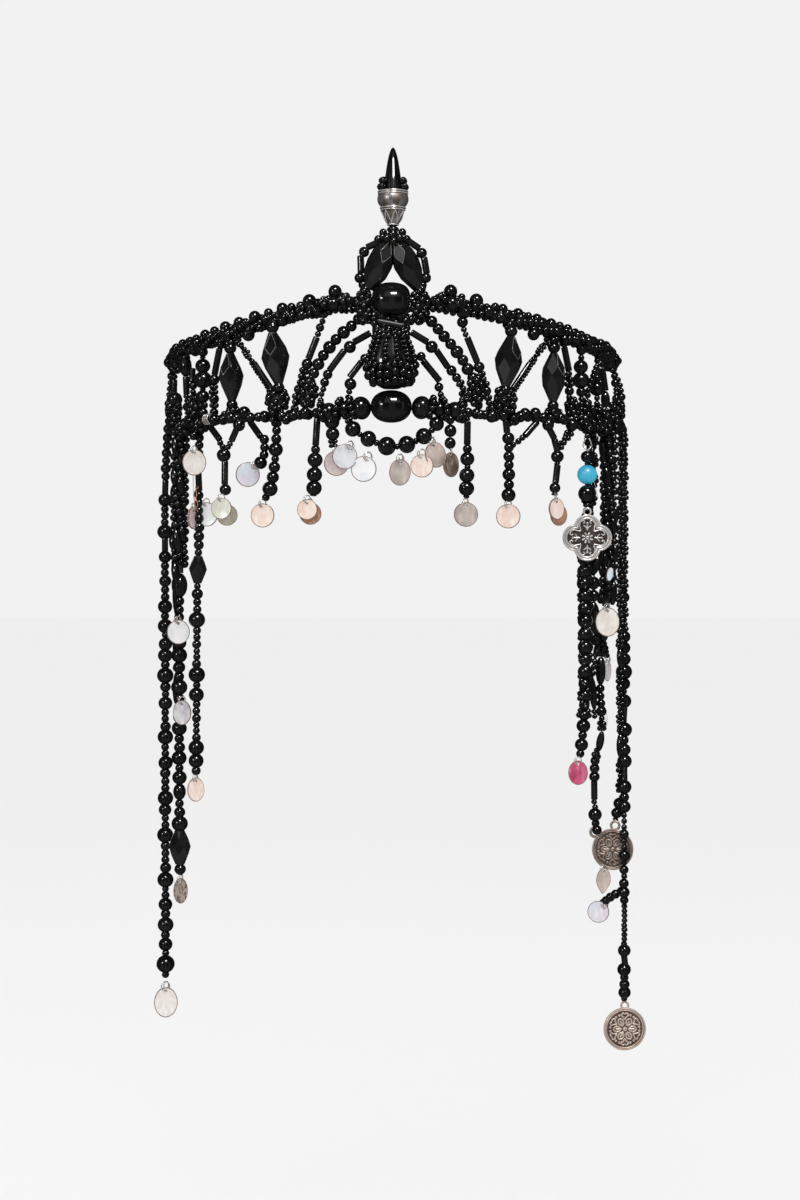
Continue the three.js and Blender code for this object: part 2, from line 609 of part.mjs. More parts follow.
// Long strands. Columns: name, strings as [chart, stations, radius between the beads], the discs at
// their foot, and the discs on the way down as [disc, the station that it hangs from].
const TWISTED = 1.2; // radius of two twisted rows of seed beads
const STRANDS = [
  ["strand_left_outer",
    [["8s b6 o5 3s o5.4 b6 o4.6 3s o4.4 2s o5 2s o5 1s o4.8 1s o5 3s o5.6 o3.7 o3 o5 2s o3.7 o5.4 2s " +
      "o5 o3.7 3s o5.4 o4.3 2s o5.6 o3.3 2s o3.9 o5.6 2s o4.8 o3.3 o5.6 o3.1 o4.8 1s o6.3 1s",
      [[-84.8, "under"], [-84.8, -100], [-84.8, "disc"]], THREAD]],
    [[-84.8, -215.2, 8.7, 11.2, 8]], []],
  ["strand_left_middle",
    [["t6.5x47 f5x8.6 o4 8s o4.7 o5.6 o4 1s o4.9 7s o5 2s o3.8 o5 2s o4.7 f4.4x5 o3.6 o3.6 o5.4 " +
      "f7.2x12.2 o4 1s",
      [[-66.6, "under"], [-66.8, -60], [-66.2, -100], [-66.4, "disc"]], THREAD]],
    [[-66.4, -170.6, 5.2, 9, 20]],
    [[[-61.9, -77, 8.1, 8.8, 14, 0.6], [-66.4, -70]], [[-64.1, -106, 7, 8.7, -20, 0.6], [-66.2, -99]]]],
  ["strand_left_inner",
    [["9s b4.3 o3.2 6s f5x6 o3.4 1s f6.2x9.6 2s o3.7 5s o5.5 3s o3 2s o3 1s o5.5 o5.1 8s o5.1 o5.1 1s",
      [[-55.6, "under", -0.6], [-55.8, -12, -3.2], [-56.2, -44, -3], [-56.4, -60, 0], [-57, "disc"]],
      THREAD]],
    [[-57.2, -133, 6, 8.5, 24]], []],
  ["strand_right_inner",
    [["30s o4.4 1s o5.3 1s o4.4 1s o2.6 o4.6 o5 1s o5.3 1s o4.4 3s o4.2 o3.4 1s o4.4 1s o3.9 o2.8",
      [[51.4, "under", -1], [53, -30, -3], [53.4, -52, -1], [53.5, -80, 0], [50.9, "disc"]], TWISTED]],
    [[50.2, -126.4, 7, 8.6, -16]], []],
  ["strand_right_middle",
    [["2s t5x46 2s f3x5 16s b7.2 o3.4 1s o3.4 9s o4.3 b6 o3.6 o4.4 2s o3.6",
      [[64.4, "under"], [63.8, -57], [60.6, -97], [61.6, -113], [66, -124, -5], [67.4, -146, -6.5],
        [69.3, -150.9, -5.8]], THREAD]],
    [],
    [[[65.6, -74.2, 8.8, 10.2, 8, 0.4], [63.4, -66.4]], [[64, -113.6, 7.6, 7.6, 64, 0.4], [60.8, -107.8]]]],
  ["strand_right_outer",
    [["t3.4x50 2s o5 t3.2x18 o5.8 4s o5.2 b6 o5.6 t3.2x7 o5.4 b5 o5.8 3s o4.2 o4.3 8s o4 16s o4.2 8s " +
      "o4 b4.8 o4.4 o3.2 o3.8 o4.2",
      [[80, "under"], [80.4, -60], [80.2, -140], [84.8, -172], [84.8, -214.4]], THREAD],
     ["2s o3.6 1s", [[80, -141], [73, -146.8]], THREAD],
     ["3s o3 2s", [[84.8, -172], [80, -173.6, -5]], THREAD]],
    [],
    [[[79.3, -180, 8, 8, -14, -7.6], [80, -173.6, -5]]]],
];

function addStrands() {
  for (const [name, strings, feet, branches] of STRANDS) {
    const bodies = feet.length > 0
      ? [hungWithDiscs(strings, feet)]
      : strings.map(([chart, stations, core]) => stringSolid(chart, stations, core));
    const discs = branches.map(([disc, from]) => hangingDisc(disc, onBand(...from)));
    addPiece(name, pearl, joined([...bodies, ...discs]));
  }
}

// Charm: its string, the turquoise bead that is threaded on it, and the four-lobed plate.
const CHARM = { angle: 53.6, out: 3.6 };
const TURQUOISE = { z: -21.4, width: 7, tall: 6.2, bore: 0.85 };
// The charm's string: rows of [distance below the rail's seat, radius].
const CHARM_STRING = [
  [0, 0.45],
  [8.6, 0.45],
  [9.4, 1.6],
  [12.2, 1.6],
  [13, 0.4],
  [20.1, 0.4],
  [20.9, 1.6],
  [23, 3.15],
  [26.6, 3.15],
  [28.4, 1.6],
  [29.2, 0.8],
];
const CHARM_STRING_LENGTH = CHARM_STRING[CHARM_STRING.length - 1][0];
const BAIL = { rise: 0.9, width: 2.4, tall: 2.8 };
const BAIL_END = 0.42; // a ball's end lies this share of its height from its middle
const QUATREFOIL = { wide: 17.5, tall: 16.4, plate: 1.2, rim: 1, floor: 0.45, lobe: 0.27 };

// A flat plate that faces the front: an outline of overlapping round lobes.
function lobedPlate(inset, from, to) {
  const lobes = [
    [1, 0],
    [0, 1],
    [-1, 0],
    [0, -1],
  ].map(([x, z]) => {
    const radius = QUATREFOIL.wide * QUATREFOIL.lobe - inset;
    const lobe = new THREE.CylinderGeometry(radius, radius, to - from, 10);
    const reachX = QUATREFOIL.wide * (0.5 - QUATREFOIL.lobe);
    const reachZ = QUATREFOIL.tall / 2 - QUATREFOIL.wide * QUATREFOIL.lobe;
    return solidOf(lobe.translate(x * reachX, -(from + to) / 2, z * reachZ));
  });
  const half = QUATREFOIL.wide * 0.24 - inset * 0.5;
  const middle = new THREE.BoxGeometry(2 * half, to - from, 2 * half).translate(0, -(from + to) / 2, 0);
  return joined([...lobes, solidOf(middle)]);
}

// A low round boss on a plate's front: [x, z, radius], standing from one depth to another.
function boss([x, z, radius], from, to, sides = 8) {
  const body = turned([[from, radius], [to, radius * 0.6]], sides).rotateZ(Math.PI);
  return solidOf(body.translate(x, 0, z));
}

function ringOfBosses(count, reach, radius, first = 0) {
  return Array.from({ length: count }, (unused, i) => {
    const turn = radians(first + (360 * i) / count);
    return [reach * Math.cos(turn), reach * Math.sin(turn), radius];
  });
}

function addCharm() {
  const seat = onBand(CHARM.angle, bottomRailHeight(CHARM.angle) - RAIL_SEAT, CHARM.out);
  const rows = CHARM_STRING.map(([down, radius]) => [-down, radius]).reverse();
  const string = turned(rows).rotateX(Math.PI / 2).translate(seat.x, seat.y, seat.z);
  // The wire loop that the string hangs by leans back to the rail.
  const hook = onBand(CHARM.angle, bottomRailHeight(CHARM.angle) - 0.6, RAIL_SEAT - 0.1);
  const lean = rodBetween(new THREE.Vector3(seat.x, seat.y, seat.z - 0.6), hook, 0.45, HANGER_SIDES);
  addPiece("charm_string", glass, solidOf(string).add(lean));

  const half = TURQUOISE.tall / 2;
  const { bore } = TURQUOISE;
  const beadRows = [
    [bore, -half],
    [TURQUOISE.width * 0.34, -half],
    [TURQUOISE.width * 0.5, -half * 0.4],
    [TURQUOISE.width * 0.5, half * 0.4],
    [TURQUOISE.width * 0.34, half],
    [bore, half],
    [bore, -half],
  ].map(([radius, along]) => new THREE.Vector2(radius, along));
  const bead = new THREE.LatheGeometry(beadRows, 12).rotateX(Math.PI / 2);
  addPiece("turquoise_bead", stone, solidOf(bead.translate(seat.x, seat.y, TURQUOISE.z)));

  const { plate, rim, floor, tall } = QUATREFOIL;
  const dish = lobedPlate(0, 0, plate).subtract(lobedPlate(rim, floor, plate + 1));
  const spots = [[0, 0, 2], ...ringOfBosses(4, 4.9, 1.5)];
  const relief = spots.map((spot) => boss(spot, floor - 0.2, plate + 0.2, 6));
  const bail = ballAt(new THREE.Vector3(0, -plate / 2, tall / 2 + BAIL.rise), BAIL.width, BAIL.tall);
  const reach = tall / 2 + BAIL.rise + BAIL_END * BAIL.tall;
  const middle = seat.z - CHARM_STRING_LENGTH - CLEARANCE - reach;
  const charm = joined([dish, ...relief, bail]).translate([seat.x, seat.y, middle]);
  addPiece("quatrefoil_charm", silver, charm);
}

// Cast medallions: a rimmed disc with a rosette of raised petals and dots.
const MEDALLIONS = [
  // Name, angle, height, width, turn.
  ["medallion_upper", 71.2, -156.4, 15, -6],
  ["medallion_lower", 84.8, -224.4, 15.8, 6],
];
const MEDALLION = { plate: 1.3, rim: 0.9, floor: 0.75, bail: 1.5, sides: 16 };
const BAIL_FOOT = 0.2; // how far the bail's bead sits into the rim

function addMedallions() {
  const { plate, rim, floor, bail, sides } = MEDALLION;
  for (const [name, angle, z, width, turn] of MEDALLIONS) {
    const radius = width / 2;
    const inside = radius - rim;
    const profile = [[0, 0], [radius, 0], [radius, plate], [inside, plate], [inside, floor], [0, floor]];
    const points = profile.map(([r, along]) => new THREE.Vector2(r, along));
    const disc = new THREE.LatheGeometry(points, sides).rotateZ(Math.PI);
    const petals = ringOfBosses(5, radius * 0.52, radius * 0.2);
    const spots = [[0, 0, radius * 0.17], ...petals];
    const relief = spots.map((spot) => boss(spot, floor - 0.2, plate + 0.1, 6));
    const loop = ballAt(new THREE.Vector3(0, -plate / 2, radius + bail / 2 - BAIL_FOOT), 2, 2 * bail);
    const middle = onBand(angle, z);
    const solid = joined([solidOf(disc), ...relief, loop]).rotate([0, 0, turn]);
    addPiece(name, silver, solid.translate([middle.x, middle.y, middle.z]));
  }
}

addRails();
addLattice();
addPanelDrops();
addCentre();
addCrest();
addFringe();
addStrands();
addCharm();
addMedallions();

export default headdress;
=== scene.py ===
"""Looks of the beaded headdress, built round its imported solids.

Lengths are millimetres and angles are degrees; a mesh is turned into metres where it is made.
The front of the head faces -Y, +X is to the right as seen from the front, and Z is up. The origin is
the centre of the band's plan at its bottom rail.
"""
import math

import bpy
import numpy as np
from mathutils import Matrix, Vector


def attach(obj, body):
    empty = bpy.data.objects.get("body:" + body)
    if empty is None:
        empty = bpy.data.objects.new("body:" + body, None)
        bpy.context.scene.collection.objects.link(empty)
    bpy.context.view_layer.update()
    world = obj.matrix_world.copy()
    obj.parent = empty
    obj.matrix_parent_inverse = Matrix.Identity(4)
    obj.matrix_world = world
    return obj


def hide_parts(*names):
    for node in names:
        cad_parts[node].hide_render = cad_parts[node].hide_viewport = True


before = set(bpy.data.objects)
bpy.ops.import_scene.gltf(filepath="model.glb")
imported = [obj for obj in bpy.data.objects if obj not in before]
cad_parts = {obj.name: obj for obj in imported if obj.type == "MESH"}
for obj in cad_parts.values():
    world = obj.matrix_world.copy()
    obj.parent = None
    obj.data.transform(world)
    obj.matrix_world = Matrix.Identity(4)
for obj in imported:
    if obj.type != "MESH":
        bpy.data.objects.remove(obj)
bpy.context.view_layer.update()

MM = 0.001
chance = np.random.default_rng(11)

# The band and its rails.
BAND_RADIUS = 84
BAND_REACH = 88
TOP_RAIL_END = 22.5
TOP_RAIL_RISE = 13
BOTTOM_RAIL_DIP = -2.4
RAIL_SEAT = 1.5  # a string starts this far from a rail's middle

# Beads.
SEED = 2  # length of a seed bead along its string
SEED_RADIUS = 1.16
ROPE_SEED_RADIUS = 1.1  # in the ropes of several strings
CLUSTER_RADIUS = 1.3  # of the small beads in clusters
BUGLE_RADIUS = 1.18
FULLNESS = 1.08  # of round beads over the size that a chart gives them
BEAD_FLATTEN = 0.9  # a round bead's length over its diameter
THREAD_RADIUS = 0.3

# Discs and their rings.
SHELL_THICKNESS = 0.66
HOLE_DROP = 1.25  # from a disc's top edge down to its hole
HOLE_RADIUS = 0.5
RING_RADIUS = 1.3
RING_WIRE = 0.16
HANGER_DROP = 1.1  # a string ends this far above the disc's edge


# Shader writing.
class Value:
    """A socket of a shader, so that its maths can be written as Python."""

    def __init__(self, shader, socket):
        self.shader = shader
        self.socket = socket

    def output(self, name):
        """Another output of the same node."""
        return Value(self.shader, self.socket.node.outputs[name])

    def maths(self, operation, other=0.0):
        return self.shader.node("ShaderNodeMath", {"operation": operation}, {0: self, 1: other})

    def __add__(self, other):
        return self.maths("ADD", other)

    def __sub__(self, other):
        return self.maths("SUBTRACT", other)

    def __mul__(self, other):
        return self.maths("MULTIPLY", other)

    __radd__ = __add__
    __rmul__ = __mul__


class Shader:
    """Writes nodes into a material's or the world's tree."""

    def __init__(self, tree):
        self.tree = tree

    def node(self, kind, settings=None, inputs=None, output=0):
        made = self.tree.nodes.new(kind)
        for name, value in (settings or {}).items():
            setattr(made, name, value)
        for name, value in (inputs or {}).items():
            self.feed(made.inputs[name], value)
        return Value(self, made.outputs[output])

    def feed(self, socket, value):
        if isinstance(value, Value):
            self.tree.links.new(value.socket, socket)
        else:
            socket.default_value = value

    def noise(self, scale, detail=2.0, stretch=(1, 1, 1)):
        """Noise over the object, with its scale in features a metre."""
        where = self.node("ShaderNodeTexCoord", output="Object")
        if stretch != (1, 1, 1):
            where = self.node("ShaderNodeMapping", None, {"Vector": where, "Scale": stretch})
        inputs = {"Vector": where, "Scale": scale, "Detail": detail}
        return self.node("ShaderNodeTexNoise", None, inputs)

    def between(self, value, low, high, to_low=0.0, to_high=1.0):
        """A value's range from low to high, spread smoothly over another range."""
        return self.node(
            "ShaderNodeMapRange",
            {"interpolation_type": "SMOOTHSTEP"},
            {"Value": value, "From Min": low, "From Max": high, "To Min": to_low, "To Max": to_high},
        )

    def mixed(self, share, first, second):
        """One colour turning into another as the share goes from 0 to 1."""
        first = first if isinstance(first, Value) else (*first, 1)
        second = second if isinstance(second, Value) else (*second, 1)
        inputs = {0: share, 6: first, 7: second}
        return self.node("ShaderNodeMix", {"data_type": "RGBA"}, inputs, output=2)

    def bump(self, height, distance, strength=1.0):
        inputs = {"Height": height, "Distance": distance, "Strength": strength}
        return self.node("ShaderNodeBump", None, inputs)


class Finish(Shader):
    """A new material, whose surface is dressed socket by socket."""

    def __init__(self, name, **sockets):
        self.material = bpy.data.materials.new(name)
        self.material.use_nodes = True
        super().__init__(self.material.node_tree)
        self.dress(**sockets)

    def dress(self, **sockets):
        surface = self.tree.nodes["Principled BSDF"]
        for name, value in sockets.items():
            self.feed(surface.inputs[name.replace("_", " ")], value)
        return self.material


def black_glass(name, rough, base, shine=0.5):
    finish = Finish(name, Specular_IOR_Level=shine)
    tint = finish.between(finish.noise(140), 0.35, 0.65)
    dark = (base * 0.7, base * 0.7, base * 0.7)
    pale = (base * 1.5, base * 1.45, base * 1.4)
    smudge = finish.between(finish.noise(420, 3.0), 0.42, 0.68, rough, rough + 0.06)
    return finish.dress(Base_Color=finish.mixed(tint, dark, pale), Roughness=smudge)


def thread_finish():
    finish = Finish("waxed_thread")
    fibre = finish.noise(2600, 2.0, stretch=(1, 1, 0.2))
    return finish.dress(
        Base_Color=finish.mixed(fibre, (0.006, 0.006, 0.007), (0.03, 0.028, 0.028)),
        Roughness=finish.between(fibre, 0.3, 0.7, 0.5, 0.75),
        Normal=finish.bump(fibre, 0.00004),
    )


def wire_finish():
    finish = Finish("silver_wire", Metallic=0.6)
    wear = finish.between(finish.noise(700, 3.0), 0.4, 0.66)
    return finish.dress(
        Base_Color=finish.mixed(wear, (0.86, 0.83, 0.79), (0.42, 0.36, 0.32)),
        Roughness=finish.between(wear, 0, 1, 0.16, 0.4),
    )


def aged_metal(name, bright, dark, dark_share, rough, metal, flow=1.0, grain=330):
    """Polished metal with patches of tarnish; dark_share is where the noise turns dark. A low flow
    draws the patches out upright into stripes, which on the cap also paint the reflections of
    upright lights down its barrel."""
    finish = Finish(name, Metallic=metal)
    spots = finish.noise(grain, 4.0, stretch=(1, 1, flow))
    patches = finish.between(spots, dark_share, dark_share + 0.14)
    scratches = finish.noise(2400, 2.0, stretch=(1, 1, 0.08))
    return finish.dress(
        Base_Color=finish.mixed(patches, bright, dark),
        Roughness=finish.between(patches + scratches * 0.3, 0.1, 1.2, rough, rough + 0.3),
        Normal=finish.bump(scratches, 0.00002, 0.4),
    )


def nacre(name, light, shade, blush, grain=260):
    """Shell: soft bands of two tones with a blush of a third, under a clear polish."""
    finish = Finish(
        name, Coat_Weight=0.35, Coat_Roughness=0.08, Specular_IOR_Level=0.5,
        Thin_Film_Thickness=380.0, Thin_Film_IOR=1.45,
    )
    drift = finish.noise(grain, 2.0)
    bands = finish.noise(grain * 2.4, 3.0, stretch=(1, 1, 0.35))
    body = finish.mixed(finish.between(drift, 0.38, 0.62), light, shade)
    return finish.dress(
        Base_Color=finish.mixed(finish.between(bands, 0.5, 0.74), body, blush),
        Roughness=finish.between(bands, 0.3, 0.7, 0.2, 0.38),
        Normal=finish.bump(bands, 0.00005, 0.5),
    )


def turquoise_finish():
    finish = Finish("turquoise_stone", Coat_Weight=0.25, Coat_Roughness=0.2)
    cloud = finish.between(finish.noise(240, 3.0), 0.35, 0.7)
    return finish.dress(
        Base_Color=finish.mixed(cloud, (0.028, 0.43, 0.68), (0.05, 0.5, 0.72)),
        Roughness=finish.between(cloud, 0, 1, 0.36, 0.46),
    )


# Black glass: roughness, brightness, shine.
GLASSES = {
    "glass": [0.04, 0.005],
    "seeds": [0.06, 0.005],
    "bugle": [0.12, 0.006],
    "matt_bugle": [0.42, 0.008],
    "facets": [0.06, 0.008, 0.7],
    # Thin rods along the polished edges of cut drops, their glass painted light grey: a painted highlight.
    "edge_glint": [0.2, 0.17, 1.0],
}
# Silver: bright colour, dark colour (tarnish, and on the cap also painted shade between its painted
# reflections), where it starts, roughness, metal, flow, grain.
SILVERS = {
    # The cap's patches are drawn out upright into bright and dark stripes: painted reflections of upright
    # lights on its polished barrel, over brown tarnish.
    "cap": [(0.5, 0.48, 0.48), (0.2, 0.155, 0.125), 0.46, 0.22, 0.85, 0.16],
    "cap_line": [(0.8, 0.77, 0.74), (0.5, 0.45, 0.42), 0.56, 0.25, 0.5],
    "cast": [(0.72, 0.7, 0.68), (0.45, 0.4, 0.36), 0.52, 0.26, 0.5],
    "coin": [(0.66, 0.54, 0.46), (0.5, 0.38, 0.31), 0.48, 0.36, 0.4],
    "dull_coin": [(0.42, 0.34, 0.29), (0.26, 0.2, 0.17), 0.46, 0.36, 0.5],
    "umber": [(0.13, 0.08, 0.06), (0.07, 0.045, 0.035), 0.4, 0.5, 0.2],
    "recess": [(0.06, 0.036, 0.026), (0.03, 0.018, 0.013), 0.4, 0.5, 0.2],
    "grain": [(0.52, 0.43, 0.38), (0.14, 0.1, 0.08), 0.46, 0.4, 0.4, 0.5, 1300],
}
# Shell: light tone, shade, blush, grain.
SHELLS = {
    "white": [(0.92, 0.91, 0.92), (0.8, 0.83, 0.87), (0.95, 0.87, 0.86)],
    "ivory": [(0.87, 0.82, 0.78), (0.8, 0.72, 0.67), (0.92, 0.9, 0.88)],
    "grey": [(0.76, 0.77, 0.81), (0.6, 0.62, 0.67), (0.83, 0.8, 0.83)],
    "blue": [(0.72, 0.79, 0.87), (0.8, 0.71, 0.81), (0.88, 0.9, 0.93)],
    "cream": [(0.74, 0.73, 0.63), (0.62, 0.62, 0.53), (0.8, 0.79, 0.71)],
    "olive": [(0.46, 0.43, 0.34), (0.36, 0.33, 0.25), (0.56, 0.53, 0.44)],
    "peach": [(0.9, 0.74, 0.66), (0.86, 0.65, 0.56), (0.93, 0.85, 0.8)],
    "copper": [(0.44, 0.22, 0.14), (0.32, 0.15, 0.1), (0.6, 0.36, 0.26)],
    "mauve": [(0.5, 0.43, 0.4), (0.4, 0.34, 0.33), (0.62, 0.5, 0.46)],
    "lilac": [(0.62, 0.58, 0.61), (0.5, 0.45, 0.5), (0.75, 0.71, 0.73)],
    "pink": [(0.57, 0.085, 0.2), (0.42, 0.05, 0.13), (0.72, 0.22, 0.36)],
    "blush": [(0.74, 0.6, 0.6), (0.63, 0.5, 0.52), (0.82, 0.74, 0.73)],
    "edge": [(0.27, 0.17, 0.14), (0.18, 0.11, 0.09), (0.42, 0.3, 0.26), 900],
    "pale_edge": [(0.62, 0.54, 0.5), (0.5, 0.42, 0.38), (0.7, 0.64, 0.6), 900],
    "stone": [(0.6, 0.48, 0.43), (0.5, 0.41, 0.37), (0.72, 0.6, 0.55)],
    "bronze": [(0.26, 0.19, 0.14), (0.14, 0.1, 0.08), (0.5, 0.4, 0.31)],
}
COPPER = [(0.55, 0.3, 0.22), (0.3, 0.15, 0.1), 0.5, 0.3, 0.6]
# Each finish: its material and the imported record's slot that it belongs to.
FINISHES = {
    "thread": (thread_finish(), "black_glass"),
    "wire": (wire_finish(), "steel_wire"),
    "copper_wire": (aged_metal("copper_wire", *COPPER), "steel_wire"),
    "turquoise": (turquoise_finish(), "turquoise"),
}
for key, row in GLASSES.items():
    FINISHES[key] = (black_glass(f"black_{key}", *row), "black_glass")
for key, row in SILVERS.items():
    FINISHES[key] = (aged_metal(f"{key}_silver", *row), "aged_silver")
for key, row in SHELLS.items():
    FINISHES[key] = (nacre(f"{key}_shell", *row), "mother_of_pearl")


# Places on the band.
def on_band(angle, z, out=0.0):
    """A point on the band's surface: its angle round the head, its height and how far out it is."""
    turn = math.radians(angle)
    radius = BAND_RADIUS + out
    return np.array([radius * math.sin(turn), -radius * math.cos(turn), z], float)


def smooth_share(value, low, high):
    share = min(1, max(0, (value - low) / (high - low)))
    return share * share * (3 - 2 * share)


def top_rail(angle):
    return TOP_RAIL_END + TOP_RAIL_RISE * abs(math.cos(math.radians(angle))) ** 3


def bottom_rail(angle):
    return BOTTOM_RAIL_DIP * smooth_share(abs(angle), 4, 26)


def top_rail_out(angle):
    """How far the top rail bends out of the band's round: in, towards both ends."""
    return -3.4 * smooth_share(angle, 48, 86) - 1.6 * smooth_share(-angle, 58, 88)


def station(angle, height, out=0.0):
    """A point that a string passes. A height may be the name of the seat on a rail."""
    if height == "top":
        out += top_rail_out(angle)
    seats = {
        "top": top_rail(angle) - RAIL_SEAT,
        "bottom": bottom_rail(angle) + RAIL_SEAT,
        "under": bottom_rail(angle) - RAIL_SEAT,
    }
    return on_band(angle, seats.get(height, height), out)


class Route:
    """A smooth line through points, measured along its length."""

    STEPS = 20

    def __init__(self, points):
        points = [np.asarray(point, float) for point in points]
        ends = [2 * points[0] - points[1], *points, 2 * points[-1] - points[-2]]
        samples = []
        for before, start, end, after in zip(ends, ends[1:], ends[2:], ends[3:]):
            gaps = [math.sqrt(math.dist(*pair)) for pair in ((before, start), (start, end), (end, after))]
            span = (end - start) / gaps[1]
            leave = (start - before) / gaps[0] - (end - before) / (gaps[0] + gaps[1]) + span
            arrive = span - (after - start) / (gaps[1] + gaps[2]) + (after - end) / gaps[2]
            leave = leave * gaps[1]
            arrive = arrive * gaps[1]
            t = np.linspace(0, 1, self.STEPS, endpoint=False)[:, None]
            samples.append(
                start
                + leave * t
                + (3 * (end - start) - 2 * leave - arrive) * t**2
                + (2 * (start - end) + leave + arrive) * t**3
            )
        self.points = np.concatenate([*samples, [points[-1]]])
        steps = np.linalg.norm(np.diff(self.points, axis=0), axis=1)
        self.along = np.concatenate([[0], np.cumsum(steps)])
        self.length = self.along[-1]

    def at(self, distances):
        """Points, directions and outward sides at distances along the line."""
        distances = np.atleast_1d(distances)

        def spot(where):
            return np.stack([np.interp(where, self.along, self.points[:, k]) for k in range(3)], 1)

        centres = spot(distances)
        ahead = spot(np.minimum(distances + 0.4, self.length)) - spot(np.maximum(distances - 0.4, 0))
        ahead = unit(ahead)
        outward = centres * [1, 1, 0]
        outward = unit(outward - ahead * np.sum(outward * ahead, 1, keepdims=True))
        return centres, ahead, outward


def unit(vectors):
    return vectors / np.maximum(np.linalg.norm(vectors, axis=-1, keepdims=True), 1e-9)


def yawed(points, degrees):
    """Points turned about an upright axis."""
    turn = math.radians(degrees)
    x, y, z = points.T
    return np.stack([x * math.cos(turn) - y * math.sin(turn), x * math.sin(turn) + y * math.cos(turn), z], 1)


def circle(count):
    """Points round a circle with a radius of 1."""
    turns = np.arange(count) * 2 * math.pi / count
    return np.stack([np.cos(turns), np.sin(turns)], 1)


def skin(rows, sides, closed=False, flip=False):
    """The faces between rows of points that go round; flip turns them inside out."""
    faces = []
    for i in range(rows if closed else rows - 1):
        below = i * sides
        above = (i + 1) % rows * sides
        for j in range(sides):
            k = (j + 1) % sides
            faces.append((below + j, below + k, above + k, above + j))
    return np.array(faces)[:, [0, 3, 2, 1] if flip else [0, 1, 2, 3]]


# Templates: unit shapes along Z, with radius 1 and half-length 1.
def lathe(rows, sides, closed=False):
    """A turned shape from rows of (along, radius). A closed one joins its last row to its first, so
    that the shape is a ring with a hole through it."""
    points = np.array([[*(spoke * radius), along] for along, radius in rows for spoke in circle(sides)])
    return points, skin(len(rows), sides, closed)


def capped(rows, sides):
    """A turned solid whose two ends close in a point on its axis, left as one narrow row."""
    return lathe([(rows[0][0], 1e-3), *rows, (rows[-1][0], 1e-3)], sides)


def mirrored(rows):
    """The rows of a turned shape from its foot to its middle, and the same upside down."""
    return rows + [(-along, radius) for along, radius in reversed(rows) if along]


def arc(count, reach):
    """Rows of a ball, from minus reach to plus reach in degrees of latitude."""
    rows = []
    for i in range(count):
        latitude = math.radians(-reach + 2 * reach * i / (count - 1))
        rows.append((math.sin(latitude) / math.sin(math.radians(reach)), math.cos(latitude)))
    return rows


def ring(sides, wire_sides, wire):
    """A ring of wire round the Z axis with radius 1."""
    rows = []
    for i in range(wire_sides):
        turn = 2 * math.pi * i / wire_sides
        rows.append((-wire * math.cos(turn), 1 + wire * math.sin(turn)))
    return lathe(rows, sides, closed=True)

SEED_ROWS = mirrored([(-0.98, 0.3), (-0.82, 0.62), (-0.46, 0.9), (0, 1.02)])
BUGLE_ROWS = mirrored([(-1, 0.5), (-1, 0.86), (-0.97, 0.98), (-0.93, 1), (-0.6, 1)])
OLIVE_ROWS = mirrored([(-1, 0.34), (-0.92, 0.5), (-0.7, 0.76), (-0.35, 0.95), (0, 1)])
TEMPLATES = {
    "seed": lathe(SEED_ROWS, 10, closed=True),
    "small": lathe(arc(8, 74), 14, closed=True),
    "round": lathe(arc(12, 77), 22, closed=True),
    "bugle": lathe(BUGLE_ROWS, 12, closed=True),
    "olive": lathe(OLIVE_ROWS, 18, closed=True),
    "ring": ring(20, 7, RING_WIRE / RING_RADIUS),
    "bail_ring": ring(26, 8, 0.3),
}


class Heap:
    """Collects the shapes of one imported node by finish, and makes its meshes."""

    def __init__(self, node):
        self.node = node
        self.parts = {}

    def add(self, finish_name, points, faces, smooth=True):
        parts = self.parts.setdefault(finish_name, [])
        parts.append((np.asarray(points, float), faces, smooth))

    def place(self, finish_name, template, centres, axes, radii, halves):
        """Copies of a template, each at a centre and along an axis, with a radius and a half length."""
        unit_points, unit_faces = TEMPLATES[template] if isinstance(template, str) else template
        centres = np.atleast_2d(centres)
        count = len(centres)
        axes = unit(np.broadcast_to(axes, centres.shape))
        helper = np.where(np.abs(axes[:, 2:3]) > 0.9, [[1.0, 0, 0]], [[0, 0, 1.0]])
        across = unit(np.cross(helper, axes))
        other = np.cross(axes, across)
        radii = np.broadcast_to(radii, count)[:, None, None]
        halves = np.broadcast_to(halves, count)[:, None, None]
        points = (
            centres[:, None]
            + unit_points[None, :, 0:1] * radii * across[:, None]
            + unit_points[None, :, 1:2] * radii * other[:, None]
            + unit_points[None, :, 2:3] * halves * axes[:, None]
        )
        shift = (np.arange(count) * len(unit_points))[:, None, None]
        faces = (unit_faces[None] + shift).reshape(-1, unit_faces.shape[1])
        self.add(finish_name, points.reshape(-1, 3), faces)

    def move(self, place, degrees=0.0):
        """Turns all the shapes about the upright axis through the origin and carries them to a place."""
        for parts in self.parts.values():
            parts[:] = [(yawed(points, degrees) + place, faces, smooth) for points, faces, smooth in parts]

    def finish(self):
        """One mesh of each finish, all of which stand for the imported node."""
        for finish_name, parts in self.parts.items():
            make_piece(f"{self.node}_{finish_name}", finish_name, parts, self.node)


